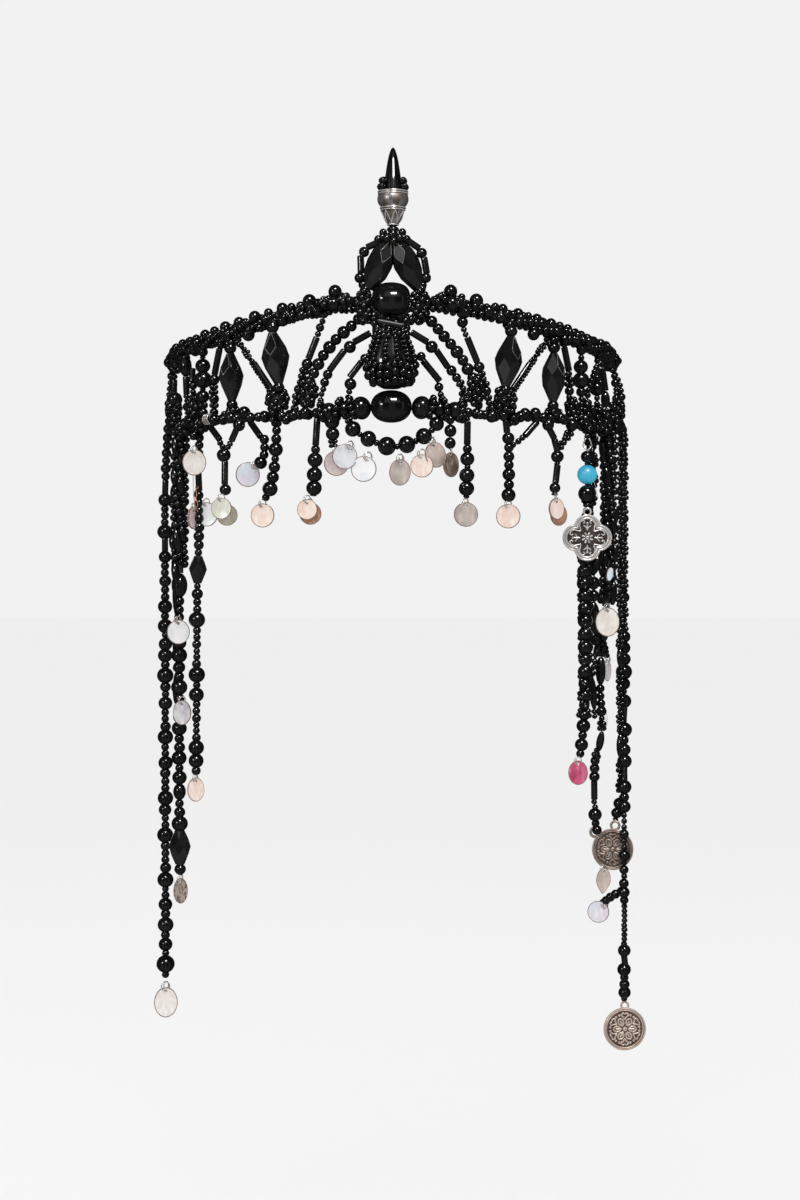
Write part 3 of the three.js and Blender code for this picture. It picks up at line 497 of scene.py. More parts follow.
def make_piece(name, finish_name, parts, node):
    corners, starts, smooth = [], [], []
    first_point = first_corner = 0
    for points, faces, is_smooth in parts:
        corners.append((faces + first_point).ravel())
        starts.append(first_corner + np.arange(len(faces)) * faces.shape[1])
        smooth.append(np.full(len(faces), is_smooth))
        first_point += len(points)
        first_corner += faces.size
    points = np.concatenate([points for points, faces, is_smooth in parts])
    mesh = bpy.data.meshes.new(name)
    mesh.vertices.add(len(points))
    mesh.vertices.foreach_set("co", (points * MM).ravel())
    mesh.loops.add(first_corner)
    mesh.loops.foreach_set("vertex_index", np.concatenate(corners))
    starts = np.concatenate(starts)
    mesh.polygons.add(len(starts))
    mesh.polygons.foreach_set("loop_start", starts)
    mesh.polygons.foreach_set("use_smooth", np.concatenate(smooth))
    mesh.update(calc_edges=True)
    material, slot = FINISHES[finish_name]
    mesh.materials.append(material)
    piece = bpy.data.objects.new(name, mesh)
    bpy.context.scene.collection.objects.link(piece)
    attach(piece, "root")
    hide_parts(node)


# Strings of beads.
# A chart names the beads of a string in order: 5s is five seed beads, o4.4 a round bead of that
# diameter and b7 a bugle of that length. By width and length, r7x6 is a round bead pressed flat,
# l5x8 a smooth long bead, c7x12 a cut long bead and t5x40 a bundle of strings of mixed beads. 5p is
# a run of seed beads on two strings twisted together.
KINDS = {
    "s": "seeds", "p": "pair", "o": "round", "b": "bugle", "r": "pressed", "l": "long", "c": "cut",
    "t": "bundle",
}
RUNS = ("seeds", "pair")
BIG_BEAD = 3.7  # over this diameter, a round bead is turned with more sides
PAIR_REACH = 0.8  # from the middle of two twisted strings to the middle of each
PAIR_PITCH = 13
STRING_CUT_TURN = 25  # of a cut bead on a string
STRING_CUT_END = 0.42
LONG_BEAD_SHARE = 0.12  # of the beads in a mixed row


def beads_of(chart):
    """The beads of a chart: kind, width and length."""
    beads = []
    for word in chart.split():
        if word[-1] in KINDS:
            beads.append((KINDS[word[-1]], 2 * SEED_RADIUS, int(word[:-1]) * SEED))
            continue
        kind = KINDS[word[0]]
        sizes = [float(number) for number in word[1:].split("x")]
        if kind == "round":
            sizes = [sizes[0] * FULLNESS, sizes[0] * BEAD_FLATTEN]
        elif kind == "bugle":
            sizes = [2 * BUGLE_RADIUS, sizes[0]]
        beads.append((kind, *sizes))
    return beads


def seed_row(heap, route, start=0, end=None, radius=SEED_RADIUS):
    """Seed beads side by side along a route or a part of it, each a little different."""
    end = route.length if end is None else end
    count = max(1, round((end - start) / (SEED * radius / SEED_RADIUS)))
    edges = np.linspace(start, end, count + 1)
    centres, axes, _ = route.at((edges[:-1] + edges[1:]) / 2)
    centres = centres + chance.normal(0, 0.07, centres.shape)
    axes = axes + chance.normal(0, 0.1, axes.shape)
    radii = radius * (1 + chance.normal(0, 0.045, count))
    heap.place("seeds", "seed", centres, axes, radii, (end - start) / count / 2)


def helix(route, distances, reach, turns):
    """A route that goes round another one, from angles at distances along it."""
    centres, axes, outward = route.at(distances)
    side = np.cross(axes, outward)
    turns = turns[:, None]
    return Route(centres + reach * (np.cos(turns) * side + np.sin(turns) * outward))


def wound_row(heap, route, start, end, reach, pitch, phase, radius):
    """A row of seed beads wound round a route in a helix."""
    distances = np.linspace(start, end, max(4, int((end - start) / 1.2)) + 1)
    turns = math.radians(phase) + 2 * math.pi * (distances - start) / pitch
    seed_row(heap, helix(route, distances, reach, turns), radius=radius)


def tube(heap, finish_name, route, radius, sides=7, step=1.0):
    """A round wire or thread along a route, closed at both ends."""
    count = max(2, int(route.length / step) + 1)
    centres, axes, outward = route.at(np.linspace(0, route.length, count))
    side = np.cross(axes, outward)
    rows = []
    for centre, across, up in zip(centres, side, outward):
        rows.append(centre + radius * (circle(sides) @ np.stack([up, across])))
    points = np.concatenate([*rows, [centres[0], centres[-1]]])
    first = count * sides
    ends = []
    for j in range(sides):
        k = (j + 1) % sides
        ends.append((first, j, k))
        ends.append((first + 1, first - sides + k, first - sides + j))
    heap.add(finish_name, points, skin(count, sides, flip=True))
    heap.add(finish_name, points, np.array(ends))


def string(heap, chart, points):
    """A string of beads on its thread. Its seed beads are spread so that the chart fills the route."""
    route = Route(points)
    beads = beads_of(chart)
    seeds = sum(length for kind, width, length in beads if kind in RUNS)
    others = sum(length for kind, width, length in beads if kind not in RUNS)
    stretch = max(0.2, (route.length - others) / seeds) if seeds else 1
    scale = route.length / (others + seeds * stretch) if beads else 1
    tube(heap, "thread", route, THREAD_RADIUS, 6, 2.0)
    start = 0
    for kind, width, length in beads:
        span = length * scale * (stretch if kind in RUNS else 1)
        centre, axis, _ = route.at(start + span / 2)
        if kind == "seeds":
            seed_row(heap, route, start, start + span)
        elif kind == "pair":
            for phase in (0, 180):
                wound_row(heap, route, start, start + span, PAIR_REACH, PAIR_PITCH, phase, ROPE_SEED_RADIUS)
        elif kind == "bundle":
            bundle(heap, route, start, start + span, width)
        elif kind == "cut":
            top, foot = route.at([start, start + span])[0]
            cut_drop(heap, top, foot, width, STRING_CUT_TURN, STRING_CUT_END)
        else:
            template = "round" if width > BIG_BEAD else "small"
            template = {"bugle": "bugle", "long": "olive"}.get(kind, template)
            wobble = chance.normal(0, 0.05, 3)
            half = max(span * 0.49, width * 0.47) if kind == "round" else span * 0.49
            finish_name = "bugle" if kind == "bugle" else "glass"
            heap.place(finish_name, template, centre + wobble, axis + wobble, width / 2, half)
        start += span
    return route


def mixed_row(heap, route):
    """Small round beads of many sizes along a route, with a long smooth bead here and there."""
    start = 0
    while start < route.length - 3:
        if chance.random() < LONG_BEAD_SHARE:
            width, length, template = 3, chance.uniform(5, 9), "olive"
        else:
            width = chance.uniform(2.1, 3.3)
            length, template = width * BEAD_FLATTEN, "small"
        centre, axis, _ = route.at(start + length / 2)
        centre = centre + chance.normal(0, 0.16, 3)
        heap.place("glass", template, centre, axis, width / 2, length / 2)
        start += length


def bundle(heap, route, start, end, width):
    """Several strings of mixed beads twisted lightly together."""
    reach = max(0.85, width / 2 - CLUSTER_RADIUS)
    count = max(2, round(2 * math.pi * reach / 2.7))
    pitch = chance.uniform(60, 90)
    distances = np.linspace(start, end, 24)
    for i in range(count):
        mixed_row(heap, helix(route, distances, reach, 2 * math.pi * (distances / pitch + i / count)))
    if reach > 1.8:
        core = Route(route.at(np.linspace(start, end, 12))[0])
        tube(heap, "thread", core, reach - 0.6, 8)


def loop_of_seeds(heap, centre, axis, reach):
    """A ring of seed beads round a place, as thread wrapped round a crossing leaves."""
    count = max(5, round(2 * math.pi * reach / SEED))
    axis = unit(np.asarray(axis, float))
    helper = np.array([0, 0, 1.0]) if abs(axis[2]) < 0.9 else np.array([1.0, 0, 0])
    across = unit(np.cross(helper, axis))
    other = np.cross(axis, across)
    turns = (np.arange(count) * 2 * math.pi / count + chance.uniform(0, 1))[:, None]
    places = np.cos(turns) * across * reach + np.sin(turns) * other * reach
    heading = np.cos(turns) * other - np.sin(turns) * across
    jitter = chance.normal(0, 0.08, places.shape)
    heap.place("seeds", "seed", centre + places + jitter, heading + jitter, SEED_RADIUS, SEED / 2)


def tuft(heap, centre, sizes):
    """A tight cluster of small beads over an egg-shaped core, with the given half sizes."""
    sizes = np.asarray(sizes, float)
    pairs = (sizes * np.roll(sizes, 1)) ** 1.6
    area = 4 * math.pi * np.mean(pairs) ** (1 / 1.6)
    count = max(5, round(area / (2 * CLUSTER_RADIUS) ** 2 * 1.5))
    height = 1 - 2 * (np.arange(count) + 0.5) / count
    turns = math.pi * (3 - math.sqrt(5)) * np.arange(count)
    flat = np.sqrt(1 - height**2)
    sphere = np.stack([flat * np.cos(turns), flat * np.sin(turns), height], 1)
    places = centre + sphere * sizes + chance.normal(0, 0.14, sphere.shape)
    heading = np.stack([-np.sin(turns), np.cos(turns), np.zeros(count)], 1)
    heading = heading + chance.normal(0, 0.5, sphere.shape)
    radii = CLUSTER_RADIUS * (1 + chance.normal(0, 0.07, count))
    heap.place("seeds", "small", places, heading, radii, CLUSTER_RADIUS * 0.9)
    core_points, core_faces = capped(arc(7, 80), 12)
    heap.add("thread", core_points * (sizes * 0.86) + centre, core_faces)


def balls(heap, beads):
    """Round beads at places: [centre, diameter], threaded along the band."""
    for centre, width in beads:
        around = np.array([-centre[1], centre[0], 0]) + chance.normal(0, 8, 3)
        template = "round" if width > BIG_BEAD else "small"
        full = width * FULLNESS / 2
        heap.place("glass", template, centre, around, full, full * BEAD_FLATTEN)


# Cut glass.
CUT_SIDES = 6
# The edges of a cut drop are thin rods painted light grey as their highlight; this is their radius.
CUT_EDGE = 0.1  # radius of the polished edges between facets
CUT_WAIST = 0.48  # share of the length from the top to the widest part


def cut_drop(heap, top, foot, width, turn_to, end_share):
    """A long drop cut into kites above and below a girdle of diamonds. All its facets are flat.
    turn_to is how far its front kite is turned from straight out, and end_share is the share of the
    widest radius at both cut-off ends."""
    top, foot = np.asarray(top, float), np.asarray(foot, float)
    axis = unit(foot - top)
    length = np.linalg.norm(foot - top)
    out = unit(top * [1, 1, 0])
    out = unit(out - axis * np.dot(out, axis))
    across = np.cross(axis, out)
    wide = width / 2
    end = end_share * wide
    half_turn = math.pi / CUT_SIDES
    rise = (math.cos(half_turn) ** 2 - end_share) / (1 - end_share)
    shoulder = (end + (wide - end) * rise) / math.cos(half_turn)
    rows = [
        (0, end, 0),
        (CUT_WAIST * rise, shoulder, 0.5),
        (CUT_WAIST, wide, 0),
        (1 - (1 - CUT_WAIST) * rise, shoulder, 0.5),
        (1, end, 0),
    ]
    points = []
    for share, radius, step in rows:
        for i in range(CUT_SIDES):
            turn = 2 * half_turn * (i + step) + math.radians(turn_to)
            sideways = radius * (math.cos(turn) * out + math.sin(turn) * across)
            points.append(top + axis * share * length + sideways)
    points = np.array([*points, top, foot])
    n = CUT_SIDES
    kites, triangles = [], []
    for i in range(n):
        before = (i - 1) % n
        after = (i + 1) % n
        kites.append((i, n + before, 2 * n + i, n + i))
        kites.append((n + i, 2 * n + i, 3 * n + i, 2 * n + after))
        kites.append((2 * n + i, 3 * n + before, 4 * n + i, 3 * n + i))
        triangles.append((i, n + i, after))
        triangles.append((4 * n + i, 4 * n + after, 3 * n + i))
    for i in range(n):
        after = (i + 1) % n
        triangles.append((5 * n, i, after))
        triangles.append((5 * n + 1, 4 * n + after, 4 * n + i))
    heap.add("facets", points, np.array(kites)[:, ::-1], False)
    heap.add("facets", points, np.array(triangles)[:, ::-1], False)
    # The four polished edges of the front kite, as thin rods whose glass is painted light grey: a painted
    # highlight along them.
    starts = points[[0, 0, n, 2 * n - 1]]
    ends = points[[n, 2 * n - 1, 2 * n, 2 * n]]
    halves = np.linalg.norm(ends - starts, axis=1) / 2
    edge = lathe(mirrored([(-1, 0.4), (-0.8, 1)]), 5, closed=True)
    heap.place("edge_glint", edge, (starts + ends) / 2, ends - starts, CUT_EDGE, halves)


# Shell discs on their rings.
SHELL_SPOKES = 44
CUP = 0.35  # how much higher a disc's rim is than its middle


def shell(heap, finish_name, middle, wide, tall, turn, roll=0.0, hole=True, point=0.0):
    """A thin shell disc, cupped a little, with a hole below its top and an edge of another colour.
    Point draws its foot to a tip, for a leaf."""
    heart = np.array([0, tall / 2 - HOLE_DROP if hole else 0])
    rim = circle(SHELL_SPOKES)[:, ::-1] * [wide / 2, tall / 2]
    rim[:, 0] *= 1 - point * np.clip(-2 * rim[:, 1] / tall, 0, 1) ** 1.5
    inner_rim = heart + (HOLE_RADIUS if hole else 0.02) * unit(rim - heart)
    rings = [inner_rim + (rim * 0.935 - inner_rim) * share for share in (0, 0.12, 0.35, 0.65, 1)]

    def lifted(flat, side):
        reach = (flat[:, 0] / (wide / 2)) ** 2 + (flat[:, 1] / (tall / 2)) ** 2
        depth = CUP * (0.5 - reach) + side * SHELL_THICKNESS / 2
        return np.stack([flat[:, 0], depth, flat[:, 1]], 1)

    front = [lifted(flat, -1) for flat in rings]
    back = [lifted(flat, 1) for flat in rings[::-1]]
    edge = [lifted(rim * 0.985, -0.95), lifted(rim, -0.5), lifted(rim, 0.5), lifted(rim * 0.985, 0.95)]
    rows = [*front, *edge, *back]
    x, y, z = np.concatenate(rows).T
    lean = math.radians(roll)
    x, z = x * math.cos(lean) + z * math.sin(lean), z * math.cos(lean) - x * math.sin(lean)
    points = yawed(np.stack([x, y, z], 1), turn) + middle
    faces = skin(len(rows), SHELL_SPOKES, closed=True, flip=True)
    row_of = np.arange(len(faces)) // SHELL_SPOKES
    on_edge = (row_of >= len(front) - 1) & (row_of < len(front) + len(edge)) | (row_of == len(rows) - 1)
    heap.add(finish_name, points, faces[~on_edge])
    heap.add("edge", points, faces[on_edge])


def jump_rings(heap, top, yaw, radius=RING_RADIUS):
    """Two silver rings that join a string's end to the hole of a disc, seen partly from the side."""
    for i in range(2):
        turn = math.radians(yaw + (i - 0.5) * 34)
        axis = [math.sin(turn), -math.cos(turn), 0.06 - 0.12 * i]
        heap.place("wire", "ring", top + np.array([0.22 * (i - 0.5), 0, 0.1 * i]), axis, radius, radius)


def hang_disc(heap, finish_name, disc, roll=0.0, ring_radius=RING_RADIUS):
    """A disc and its rings. The disc is [angle, height, width, height of the disc, turn, out]; roll is
    how far the disc swings in its own plane."""
    angle, z, wide, tall, turn, out = disc
    middle = on_band(angle, z, out)
    shell(heap, finish_name, middle, wide, tall, turn, roll)
    hole = tall / 2 - HOLE_DROP
    lean = math.radians(roll)
    top = middle + [math.sin(lean) * hole, -0.3, math.cos(lean) * hole + ring_radius - 0.1]
    jump_rings(heap, top, turn + 40, ring_radius)


# Rails.
def rail_points(start, end, height_at, out_at=lambda angle: 0):
    steps = round(abs(end - start) / 4)
    angles = [start + (end - start) * i / steps for i in range(steps + 1)]
    return [on_band(angle, height_at(angle), out_at(angle)) for angle in angles]


def crowd(side, start, step, reach):
    """Round beads all round the top rail from an angle to its end: [centre, diameter]."""
    beads = []
    for i, angle in enumerate(np.arange(start, BAND_REACH, step) * side):
        turn = math.radians(137.5 * i)
        z = top_rail(angle) + reach * math.sin(turn)
        out = top_rail_out(angle) + reach * math.cos(turn)
        beads.append([on_band(angle, z, out), chance.uniform(2.7, 3.7)])
    return beads


# Beads that stand out of a rail: [angle, height above its middle line, diameter, out].
TOP_RAIL_BEADS = [
    [-13.9, 5, 4.6, 0.6], [-18, 2.2, 2.8, 0.8], [-20.2, 3.2, 4.8, 0.4], [-22.3, 2.2, 3, 1],
    [-24.8, 2.6, 2.9, 0.4], [-27.2, 2.8, 4, 0.4], [-31, 2.6, 3.2, 0.5], [-35, 2.6, 4.2, 0.4],
    [-37.4, 1.6, 2.8, 1.2], [-40, 2.6, 3.7, 0.3], [-44.6, 2.6, 3.9, 0.3], [-48.6, 2.6, 3.2, 0.4],
    [-52.6, 2.6, 3.6, 0.3], [-56.6, 2.4, 3.1, 0.4], [-60.2, 2.5, 3.4, 0.2], [-65, 3, 3.2, 0.3],
    [-71, 2.4, 3.4, 0.4], [-78, 2.9, 3.2, 0.2], [-13.9, 0.6, 4.7, 2.6], [-18, -0.8, 3.1, 1.4],
    [-22, -1.1, 3.5, 1.3], [-27, -1.4, 3.8, 0.8], [-29.6, -2.6, 4.2, 1], [-37, -2.7, 4.4, 0.4],
    [-57, -1.2, 3.4, 1], [-67, -1.2, 3.6, 0.8], [-84, 0.6, 3.8, 0], [13, 4.9, 4.6, 0.6],
    [15.6, 1.6, 3.1, 1.2], [19.3, 3.2, 4.7, 0.4], [24, 2.4, 2.9, 0.6], [26, 2.3, 3.5, 0.5],
    [30, 1.9, 3.9, 0.7], [33, 2.2, 2.8, 0.5], [35.6, 2.1, 3.7, 0.4], [40, 2.1, 3.7, 0.4],
    [43, 2.4, 3, 0.3], [45.8, 2.4, 3.2, 0.3], [48.4, 2, 2.9, 0.6], [51, 1.9, 3.2, 0.4],
    [53.8, 1.8, 3.1, 0.4], [57.2, 1.8, 3.4, 0.3], [62, 2.3, 3.4, 0.3], [67, 2.9, 3.2, 0.3],
    [73, 2.3, 3.4, 0.2], [80, 2.9, 3.2, 0.2], [86, 2.3, 3.4, 0], [13, 0.6, 4.8, 2.6], [22, 0.2, 4.2, 1.4],
    [25.2, -0.8, 4.2, 1.2], [34.6, -3.4, 4.2, 0.5], [44, -2, 3.7, 1.1], [48, -0.8, 3.2, 1.6],
    [60, -1.4, 3.6, 1], [69, -1, 3.4, 1.2],
]
BOTTOM_RAIL_BEADS = {
    "left": [
        [-21, 0.3, 4, 1.4], [-24, 0.1, 3.8, 1.2], [-26, -1.3, 3.4, 1], [-32, 0.1, 3.8, 0.8],
        [-38, 1.8, 4.2, 0.8], [-39.8, -2.4, 4.1, 0.6], [-42, 0.3, 3.8, 1.2], [-45, 0.1, 3.5, 1],
        [-48.4, 0, 4, 0.8], [-55, -0.6, 3.6, 1.2], [-60, 0.6, 3.8, 0.8], [-66, -0.8, 3.6, 1],
        [-72, 0.5, 4, 0.6], [-79, -0.4, 3.6, 0.8], [-85, 0.2, 4, 0],
    ],
    "right": [
        [20, -0.3, 3.2, 1.4], [23, -0.4, 4.2, 1], [29, -1.2, 3.9, 0.9], [32, 1, 3.9, 0.7],
        [35, 1.3, 3.9, 0.7], [39, -2.3, 4.1, 0.6], [42.6, 0.4, 3.4, 1.2], [47, -1.9, 4.2, 0.8],
        [52, 0.5, 3.8, 1], [58, -0.8, 3.8, 1], [64, 0.6, 3.6, 0.8], [70, -0.6, 4, 0.8],
        [77, 0.5, 3.6, 0.6], [84, -0.3, 4, 0.2],
    ],
}
RAIL_BEADS = "o3.6 o3.2 1s o4 o3.4 1s o3.2 o3.8 o3.2 1s o3.6 o3.4 o4 1s o3.2 o3.6 1s o3.4 o3.2 1s o3.8"
# Rows of small beads round the top rail's string: rows, reach, pitch, radius of the beads.
ROPES = {"left": [4, 1.9, 46, 1.1], "right": [4, 1.8, 52, 1.4]}
# More round beads round the top rail: side, first angle, step, distance from its middle line.
CROWDS = [[-1, 13, 2.3, 1.5], [1, 12, 2.3, 1.5], [-1, 54, 4.6, 2.5], [1, 52, 4.4, 2.5]]
# Clusters beside the cabochon: x, height, half width, half height.
CLUSTERS = [
    [-10.4, 34.4, 2.1, 5.8], [8.5, 34.2, 2.3, 5.8], [-16.8, 36.4, 1.7, 1.7], [-23.4, 35.6, 1.7, 1.4],
    [15.4, 36.4, 1.7, 1.7], [22.2, 35.8, 1.7, 1.4],
]

# Where each bottom rail starts beside the oval bead, as an angle, and the beads of both.
RAIL_START = {"left": 5.5, "right": 3.9}
RAIL_CHART = "r8x6.8 1s o5 1s o5.6 1s o3.4 " + " ".join([RAIL_BEADS] * 2)
# Wraps round the bottom rail: [angle, rise, radius, lean], and clusters: [angle, height, half width,
# half height].
BOTTOM_RAIL_WRAPS = {
    "left": [
        [-9.9, 0.4, 3.3, 14], [-13.2, 0.2, 3.5, -12], [-17, 0.2, 3, 12], [-29, 0.2, 2.6, -8],
        [-57, 0, 2.6, 12], [-68, 0, 2.6, 8],
    ],
    "right": [
        [8.5, 0.4, 3.3, -14], [11.6, 0.2, 3.5, 12], [15.4, 0.2, 3, -10], [28, 0, 2.6, 8],
        [49, 0.1, 2.6, 8], [56.6, 0, 2.6, 8], [67, 0, 2.6, 8],
    ],
}
BOTTOM_RAIL_TUFTS = {
    "left": [
        [-16.6, -2.2, 1.6, 2], [-20.4, 5.6, 2.2, 4.6], [-28.6, 3.2, 3.3, 4.4], [-44, -1.6, 1.6, 1.5],
        [-55, -4, 2.4, 2], [-64, -4, 2.6, 2.2], [-57.5, 3.4, 2.4, 3.6], [-72.5, 3.6, 2.3, 3.8],
    ],
    "right": [
        [15.4, -2.2, 1.6, 2], [19.2, 5.6, 2.2, 4.6], [26.6, 3, 3.3, 4.4], [42, -1.4, 1.6, 1.5],
        [54, -3.6, 2.4, 2.2], [62, -4, 2.6, 2.2], [47.4, 2.4, 1.6, 2.8], [53.4, 1.8, 1.9, 2.6],
        [59.4, 1, 1.7, 2], [73, 3.4, 2.2, 3.8],
    ],
}


def add_top_rail():
    heap = Heap("top_rail")
    middle = Route(rail_points(-BAND_REACH, BAND_REACH, top_rail, top_rail_out))
    upper = rail_points(-BAND_REACH, BAND_REACH, lambda angle: top_rail(angle) + 0.7, top_rail_out)
    string(heap, " ".join([RAIL_BEADS] * 3), upper)
    half = middle.length / 2
    spans = {"left": (0.8, half - 10), "right": (half + 10, middle.length - 0.8)}
    for side, (rows, reach, pitch, radius) in ROPES.items():
        for i in range(rows):
            wound_row(heap, middle, *spans[side], reach, pitch, 360 * i / rows, radius)
    balls(heap, [
        [on_band(angle, top_rail(angle) + rise, out + top_rail_out(angle)), width]
        for angle, rise, width, out in TOP_RAIL_BEADS
    ])
    for row in CROWDS:
        balls(heap, crowd(*row))
    for x, z, half_wide, half_tall in CLUSTERS:
        tuft(heap, np.array([x, -BAND_RADIUS - 0.6, z]), (half_wide, 2.2, half_tall))
    heap.finish()


def add_bottom_rails():
    for side, sign in (("left", -1), ("right", 1)):
        heap = Heap(f"bottom_rail_{side}")
        string(heap, RAIL_CHART, rail_points(sign * RAIL_START[side], sign * BAND_REACH, bottom_rail))
        balls(heap, [
            [on_band(angle, bottom_rail(angle) + rise, out), width]
            for angle, rise, width, out in BOTTOM_RAIL_BEADS[side]
        ])
        for angle, rise, reach, lean in BOTTOM_RAIL_WRAPS[side]:
            centre = on_band(angle, bottom_rail(angle) + rise, 0.3)
            axis = on_band(angle + 90, BAND_RADIUS * math.tan(math.radians(lean)))
            loop_of_seeds(heap, centre, axis, reach)
        for angle, z, half_wide, half_tall in BOTTOM_RAIL_TUFTS[side]:
            tuft(heap, on_band(angle, z, 0.4), (half_wide, 1.8, half_tall))
        heap.finish()
    # A short coil of silver wire round the left rail.
    heap = Heap("bottom_rail_left")
    for i in range(3):
        angle = -50.6 + 0.85 * i
        coil = on_band(angle, bottom_rail(angle) + 0.4, 1.7)
        heap.place("wire", "ring", coil, on_band(angle + 90, 6 * i - 8), 1.75, 1.75)
    heap.finish()


# Lattice strings: name, chart, stations.
LATTICE = {
    "left": [
        ["arch", "1s o3.6 o3.6 o4.2 o3.6 o4.2 o3.6 o4 o3.6 o4.2 o3.6 o4 2s",
         [[-7.6, 31.6], [-9.6, 28.2], [-12.6, 24.8], [-15.8, 20], [-18.4, 14.2], [-20.8, 7],
          [-21.6, "bottom"]]],
        ["upper_leg", "b6.8 o4 b9 o3.2 o3 1s", [[-5.6, 25.4], [-9.8, 21.4], [-15.4, 12.6], [-18, "bottom"]]],
        ["lower_leg", "o3 b7 o3.9 1s", [[-6.4, 17.6], [-9.6, 11.4], [-11.2, "bottom"]]],
        ["stay", "2s o2.8 1s b8.2 o3.6 3p o3.2 3p",
         [[-16.4, "top"], [-18, 26], [-20.2, 18], [-22.8, 8], [-24.2, "bottom"]]],
        ["diagonal", "", [[-41, 25.4], [-30.4, 6.4]]],
        ["bugle_post", "o3.2 b9.6 o3.6 2p o3.4 1p o3", [[-46.2, "top"], [-49, 13], [-49.2, "bottom"]]],
        ["bead_post", "o3.4 1s o5 o6 1s o4.4 2p o3.4", [[-54, "top"], [-54, "bottom"]]],
        ["end_post", "l4.6x7.6 b6.6 1s o3.2 1s", [[-64, "top"], [-62, "bottom"]]],
        ["end_string", "o3 3s b5 o5.4 1s o3.2 1s", [[-73, "top"], [-73, 14], [-72, "bottom"]]],
    ],
    "right": [
        ["arch", "1s o3.8 o3.6 o3.8 o3.6 o4.2 o3.6 o4 o3.6 o4 o3.6 2s",
         [[7.2, 31.6], [9, 28.4], [11.6, 24.2], [15.2, 18], [17.8, 12], [19.8, 6.6], [20.2, "bottom"]]],
        ["upper_leg", "b6.8 o4 b7.4 o3.4 o3 2p",
         [[3.8, 25.6], [8, 21.4], [13, 13.2], [16.2, 6], [16.4, "bottom"]]],
        ["lower_leg", "o3 b9.4 o3 1s", [[5.6, 18.4], [10, 8.4], [11.2, "bottom"]]],
        ["stay", "1s o3.6 2s b9.4 o3.6 3p o3.2 3p",
         [[15.6, "top"], [16.5, 26], [19, 18], [21.6, 8], [23, "bottom"]]],
        ["diagonal", "", [[39.4, 25.4], [28.8, 6.2]]],
        ["bugle_post", "o3.2 b8.8 3p o3.2 4p", [[44.4, "top"], [46.5, 13], [46.9, "bottom"]]],
        ["bead_post", "o3.4 1s o4.8 o5.6 o3.4 3s", [[51.6, "top"], [51.4, 10], [51.6, "bottom"]]],
        ["end_post", "2s b8.4 l3.4x6 2s", [[63.6, "top"], [65.4, "bottom"]]],
        ["end_string", "o3.6 3s o3 2s o3 2s o3.2 1s", [[70, "top"], [71.6, 15], [74, "bottom"]]],
    ],
}
# Strings that stand beside a lattice string and belong to its solid: name, side, chart, stations.
LATTICE_COMPANIONS = [
    ["end_string", "left", "o3 o3 4s o2.8 o2.8 o3.2", [[-83, "top"], [-84, 12], [-84, "bottom"]]],
    ["end_post", "left", "b5 o2.8 3s o2.8", [[-59.4, 17], [-58.8, 10], [-59.4, "bottom"]]],
    ["end_string", "right", "o3 4s o3 2s o3 1s", [[82, "top"], [83, 12], [83, "bottom"]]],
    ["end_post", "right", "2s b2.4 o3 o5.2 3s", [[60.4, "top"], [58.8, 10], [59, "bottom"]]],
    ["bead_post", "right", "9s", [[59, 18], [56, 12], [53.4, 4]]],
]


def add_diagonal(heap, route, side):
    """Two twisted rows of tiny seed beads above; a bugle and a row of seed beads below."""
    half = route.length * 0.48
    for phase in (0, 180):
        wound_row(heap, route, 0.6, half, 0.62, 11, phase, 0.85)
    centres, axes, outward = route.at(np.linspace(half, route.length - 0.6, 5))
    across = np.cross(axes, outward) * side
    seed_row(heap, Route(centres - across * 0.7), radius=0.7)
    bugle = Route(centres + across * 0.6)
    centre, axis, _ = bugle.at(bugle.length / 2)
    heap.place("bugle", "bugle", centre, axis, 0.9, bugle.length / 2)


def add_lattice():
    for side, rows in LATTICE.items():
        for name, chart, stations in rows:
            heap = Heap(f"{name}_{side}")
            route = string(heap, chart, [station(*row) for row in stations])
            if name == "diagonal":
                add_diagonal(heap, route, -1 if side == "left" else 1)
            for other, other_side, other_chart, other_stations in LATTICE_COMPANIONS:
                if (other, other_side) == (name, side):
                    string(heap, other_chart, [station(*row) for row in other_stations])
            heap.finish()


# Panel drops: name, angle at the top and at the foot, heights of the two, width, turn of the front kite.
PANEL_DROPS = [
    ["panel_drop_left_inner", -29.6, -27.9, 26.4, 8.6, 9.9, -11],
    ["panel_drop_left_outer", -42.3, -41.7, 20.4, 3.6, 8.9, -7],
    ["panel_drop_right_inner", 28, 26.5, 25, 7.6, 9.8, -12],
    ["panel_drop_right_outer", 40.5, 40.2, 20.4, 3.2, 8.9, -9],
]
PANEL_DROP_OUT = 1.2
PANEL_DROP_END = 0.3
LOW_DROP = 6  # a drop whose foot is below this height is tied to the bottom rail with a cluster


def add_panel_drops():
    for name, top_angle, foot_angle, top_z, foot_z, width, turn_to in PANEL_DROPS:
        heap = Heap(name)
        top = on_band(top_angle, top_z, PANEL_DROP_OUT)
        foot = on_band(foot_angle, foot_z, PANEL_DROP_OUT)
        cut_drop(heap, top, foot, width, turn_to, PANEL_DROP_END)
        heap.place("glass", "round", top + [0, 0, 1.7], top - foot, 2.2, 1.9)
        heap.place("glass", "round", foot - [0, 0, 1.2], top - foot, 2.0, 1.8)
        tuft(heap, on_band(top_angle, top_z + 3.9, 0.6), (1.9, 1.4, 0.9))
        if foot_z < LOW_DROP:
            tuft(heap, on_band(foot_angle, foot_z - 3.6, 0.8), (2, 1.4, 1))
        heap.finish()


# Centre.
CENTRE_X = -1.2
CABOCHON = {"z": 36.7, "wide": 13.2, "tall": 11.4, "back": 0.4, "deep": 7}
WRAPPED_DROP = {"top": 26.3, "foot": 6, "wide": 18.2, "deep": 13.4, "out": 1.6}
OVAL_BEAD = {"z": 0.2, "wide": 13.9, "tall": 11.1}
